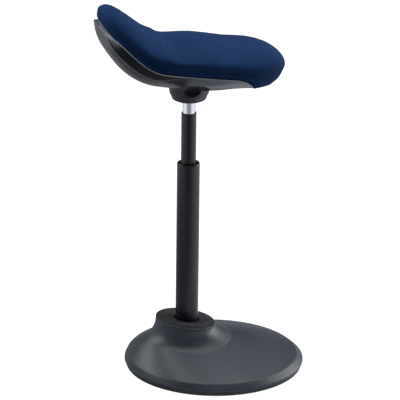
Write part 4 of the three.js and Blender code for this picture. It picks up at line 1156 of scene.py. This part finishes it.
def cloth_attribute(mesh):
    """The cloth's own coordinates in metres: along the seat, round it from side to side, and the
    height over the shell's lip."""
    points = coordinates(mesh) / MM
    along, across, rise = seat_coordinates(points)
    around = np.arctan2(across, np.maximum(rise + 30.0, 1.0)) * 95.0
    data = np.stack([along, around, rise], -1) * MM
    layer = mesh.attributes.new("cloth", "FLOAT_VECTOR", "POINT")
    layer.data.foreach_set("vector", data.ravel())


FOLD_RISES = (0.0, 7.2, 15.5, 22.5, 29.2, 33.8)
FOLD_PLACES = (-54.0, -56.8, -61.2, -67.5, -75.5, -88.0)
GROOVE_DEPTH, GROOVE_HALF, FOLD_HALF = 0.9, 2.4, 3.2


def grooved(mesh):
    """Points near a seam or the hip's fold pressed in, by a bell curve of their distance to it."""
    points = coordinates(mesh)
    along, across, rise = seat_coordinates(points / MM)
    ends = smooth(along, SEAM_FROM - 12, SEAM_FROM) * (1 - smooth(along, SEAM_TO, SEAM_TO + 14))
    depth = sum(np.exp(-((rise - level) / GROOVE_HALF) ** 2) for level in SEAM_RISES) * ends
    place = np.interp(rise, FOLD_RISES, FOLD_PLACES)
    low = smooth(rise, 1.0, 6.0) * (1 - smooth(rise, 27.0, 36.0))
    depth += 1.5 * np.exp(-((along - place) / FOLD_HALF) ** 2) * low
    depth *= smooth(np.abs(across), 60.0, 85.0)
    set_coordinates(mesh, points - normals(mesh) * (GROOVE_DEPTH * MM * depth)[:, None])
    print("points in a seam or fold", int((depth > 0.5).sum()))


grooved(cushion_mesh)
cloth_attribute(cushion_mesh)
MATERIALS["fabric"] = fabric()
shade(cushion_mesh, 60)
cushion_piece = piece("seat_cushion", cushion_mesh, "fabric", "seat", ["cushion"])

# %% [markdown]
# ## CAD nodes that stay
# Each takes the finish of its own material slot.

# %% Carried-over nodes
for part in frame["record"]["subparts"]:
    node = frame["nodes"][part["node"]]
    node.data.materials.clear()
    node.data.materials.append(MATERIALS[part["material_slot"]])
    node.data.shade_smooth()
    node.data.set_sharp_from_angle(angle=math.radians(35))
print("finished nodes", len(frame["nodes"]))

# %% [markdown]
# ## Floor and light
# A pale floor that keeps the contact shadow, a wide soft lamp overhead, one to each side and a weak low one in
# front that gloss doesn't show. Glossy rays also see a painted reflection in the floor, whose dark wedge towards
# the camera paints the tubes' dark middle stripe.

# %% Floor and light
# Settings of the painted reflection in the floor: its pool, bright sides, dark wedge and the painted shade to
# the left.
POOL_GLOW, POOL_INNER, POOL_OUTER, POOL_SIDE = 0.75, 0.2, 0.65, 0.22
SIDE_GLOW, FRONT_GLOW, BACK_GLOW = 0.72, 0.1, 0.15
GAP_INNER, GAP_OUTER = math.radians(18), math.radians(58)
BACK_INNER, BACK_OUTER = math.radians(100), math.radians(150)
SHADE_SIDE, SHADE_INNER, SHADE_OUTER, SHADE_GLOW = 0.7, 0.45, 0.85, 0.1


def painted_floor_reflection(tree):
    """A painted reflection: a glow in the floor that only glossy rays see.

    A painted pool of light round the stool, a painted bright floor to its sides, and a dark wedge towards the
    camera, which paints the dark stripe down the tubes. A painted shade dims it to the stool's left. The wedge
    is told by the angle between the way to the camera and the place on the floor, from the arc cosine of their
    product."""
    where = add(tree, "ShaderNodeTexCoord").outputs["Object"]
    flat = add(tree, "ShaderNodeVectorMath", {0: where, 1: (1, 1, 0)}, operation="MULTIPLY").outputs[0]
    middle = tuple(-POOL_SIDE * RIGHT * (1, 1, 0))
    moved = add(tree, "ShaderNodeVectorMath", {0: flat, 1: middle}, operation="ADD").outputs[0]
    radius = add(tree, "ShaderNodeVectorMath", {0: moved}, operation="LENGTH").outputs["Value"]
    unit = add(tree, "ShaderNodeVectorMath", {0: flat}, operation="NORMALIZE").outputs[0]
    front = BACK * (1, 1, 0) / np.hypot(BACK[0], BACK[1])
    ahead = add(tree, "ShaderNodeVectorMath", {0: unit, 1: tuple(front)}, operation="DOT_PRODUCT")
    angle = add(tree, "ShaderNodeMath", {0: ahead.outputs["Value"]}, operation="ARCCOSINE").outputs[0]
    sides = add(tree, "ShaderNodeMapRange", {
        "Value": angle, "From Min": GAP_INNER, "From Max": GAP_OUTER, "To Min": FRONT_GLOW,
        "To Max": SIDE_GLOW}, interpolation_type="SMOOTHSTEP").outputs["Result"]
    fade = add(tree, "ShaderNodeMapRange", {
        "Value": angle, "From Min": BACK_INNER, "From Max": BACK_OUTER, "To Min": 1.0,
        "To Max": BACK_GLOW}, interpolation_type="SMOOTHSTEP").outputs["Result"]
    sides = add(tree, "ShaderNodeMath", {0: sides, 1: fade}, operation="MULTIPLY").outputs[0]
    pool = add(tree, "ShaderNodeMapRange", {
        "Value": radius, "From Min": POOL_INNER, "From Max": POOL_OUTER, "To Min": POOL_GLOW,
        "To Max": 0.0}, interpolation_type="SMOOTHSTEP").outputs["Result"]
    lit = add(tree, "ShaderNodeMath", {0: sides, 1: pool}, operation="MAXIMUM").outputs[0]
    # Painted shade in the floor's reflection, to the stool's left.
    left = add(tree, "ShaderNodeVectorMath", {0: flat, 1: tuple(SHADE_SIDE * RIGHT * (1, 1, 0))},
               operation="ADD").outputs[0]
    apart = add(tree, "ShaderNodeVectorMath", {0: left}, operation="LENGTH").outputs["Value"]
    shade_left = add(tree, "ShaderNodeMapRange", {
        "Value": apart, "From Min": SHADE_INNER, "From Max": SHADE_OUTER, "To Min": SHADE_GLOW,
        "To Max": 1.0}, interpolation_type="SMOOTHSTEP").outputs["Result"]
    return add(tree, "ShaderNodeMath", {0: lit, 1: shade_left}, operation="MULTIPLY").outputs[0]


def floor():
    mesh = bpy.data.meshes.new("floor")
    size = 14.0
    mesh.from_pydata([(-size, -size, -0.0005), (size, -size, -0.0005), (size, size, -0.0005),
                      (-size, size, -0.0005)], [], [(0, 1, 2, 3)])
    obj = bpy.data.objects.new("floor", mesh)
    bpy.context.scene.collection.objects.link(obj)
    material = bpy.data.materials.new("white_floor")
    material.use_nodes = True
    tree = material.node_tree
    tree.nodes.clear()
    path = add(tree, "ShaderNodeLightPath")
    pale = add(tree, "ShaderNodeBsdfDiffuse", {"Color": (0.24, 0.24, 0.25, 1)})
    # Emission that only glossy rays see, in a cool tint: the painted reflection.
    shine = add(tree, "ShaderNodeMath", {0: path.outputs["Is Glossy Ray"], 1: painted_floor_reflection(tree)},
                operation="MULTIPLY")
    lift = add(tree, "ShaderNodeMath", {0: path.outputs["Is Camera Ray"], 1: 0.96},
               operation="MULTIPLY")
    white = add(tree, "ShaderNodeEmission", {"Color": (1, 1, 1, 1), "Strength": lift.outputs[0]})
    cool = add(tree, "ShaderNodeEmission", {"Color": (0.9, 0.96, 1.08, 1),
                                            "Strength": shine.outputs[0]})
    glow = add(tree, "ShaderNodeAddShader", {0: white.outputs[0], 1: cool.outputs[0]})
    both = add(tree, "ShaderNodeAddShader", {0: pale.outputs[0], 1: glow.outputs[0]})
    add(tree, "ShaderNodeOutputMaterial", {"Surface": both.outputs[0]})
    mesh.materials.append(material)


def lamp(name, place, aim, size, watts, mirrored=True):
    data = bpy.data.lights.new(name, "AREA")
    data.shape = "RECTANGLE"
    data.size, data.size_y = size
    data.energy = watts
    obj = bpy.data.objects.new(name, data)
    back = np.array(place, float) - np.array(aim, float)
    back /= np.linalg.norm(back)
    side = np.cross([0, 0, 1.0], back)
    side = side / np.linalg.norm(side) if np.linalg.norm(side) > 1e-6 else np.array([1.0, 0, 0])
    up = np.cross(back, side)
    matrix = Matrix.Identity(4)
    for i, axis in enumerate((side, up, back, place)):
        for j in range(3):
            matrix[j][i] = float(axis[j])
    obj.matrix_world = matrix
    obj.visible_glossy = mirrored
    bpy.context.scene.collection.objects.link(obj)


def backdrop():
    """White to the camera; to everything else an even, dim grey room."""
    world = bpy.data.worlds.new("studio")
    bpy.context.scene.world = world
    world.use_nodes = True
    tree = world.node_tree
    tree.nodes.clear()
    camera_ray = add(tree, "ShaderNodeLightPath").outputs["Is Camera Ray"]
    seen = add(tree, "ShaderNodeBackground", {"Color": (1, 1, 1, 1), "Strength": 1.0})
    room = add(tree, "ShaderNodeBackground", {"Color": (0.93, 0.96, 1.0, 1), "Strength": 0.07})
    mix = add(tree, "ShaderNodeMixShader", {0: camera_ray, 1: room.outputs[0], 2: seen.outputs[0]})
    add(tree, "ShaderNodeOutputWorld", {"Surface": mix.outputs[0]})


floor()
backdrop()
CENTRE = (0.03, 0.0, 0.42)
side_way = np.array([RIGHT[0], RIGHT[1], 0.0])
front_way = np.array([BACK[0], BACK[1], 0.0])
lamp("overhead", (0.1, 0.2, 2.9), CENTRE, (2.8, 2.6), 66)
lamp("left", tuple(-2.2 * side_way - 0.5 * front_way + (0, 0, 1.5)), CENTRE, (2.6, 1.2), 31)
lamp("right", tuple(2.2 * side_way - 0.9 * front_way + (0, 0, 0.95)), CENTRE, (2.2, 1.8), 48)
lamp("front", tuple(2.4 * front_way + (0, 0, 0.3)), (0.03, 0.0, 0.75), (2.2, 0.7), 9, False)
bpy.context.scene.view_settings.view_transform = "Standard"
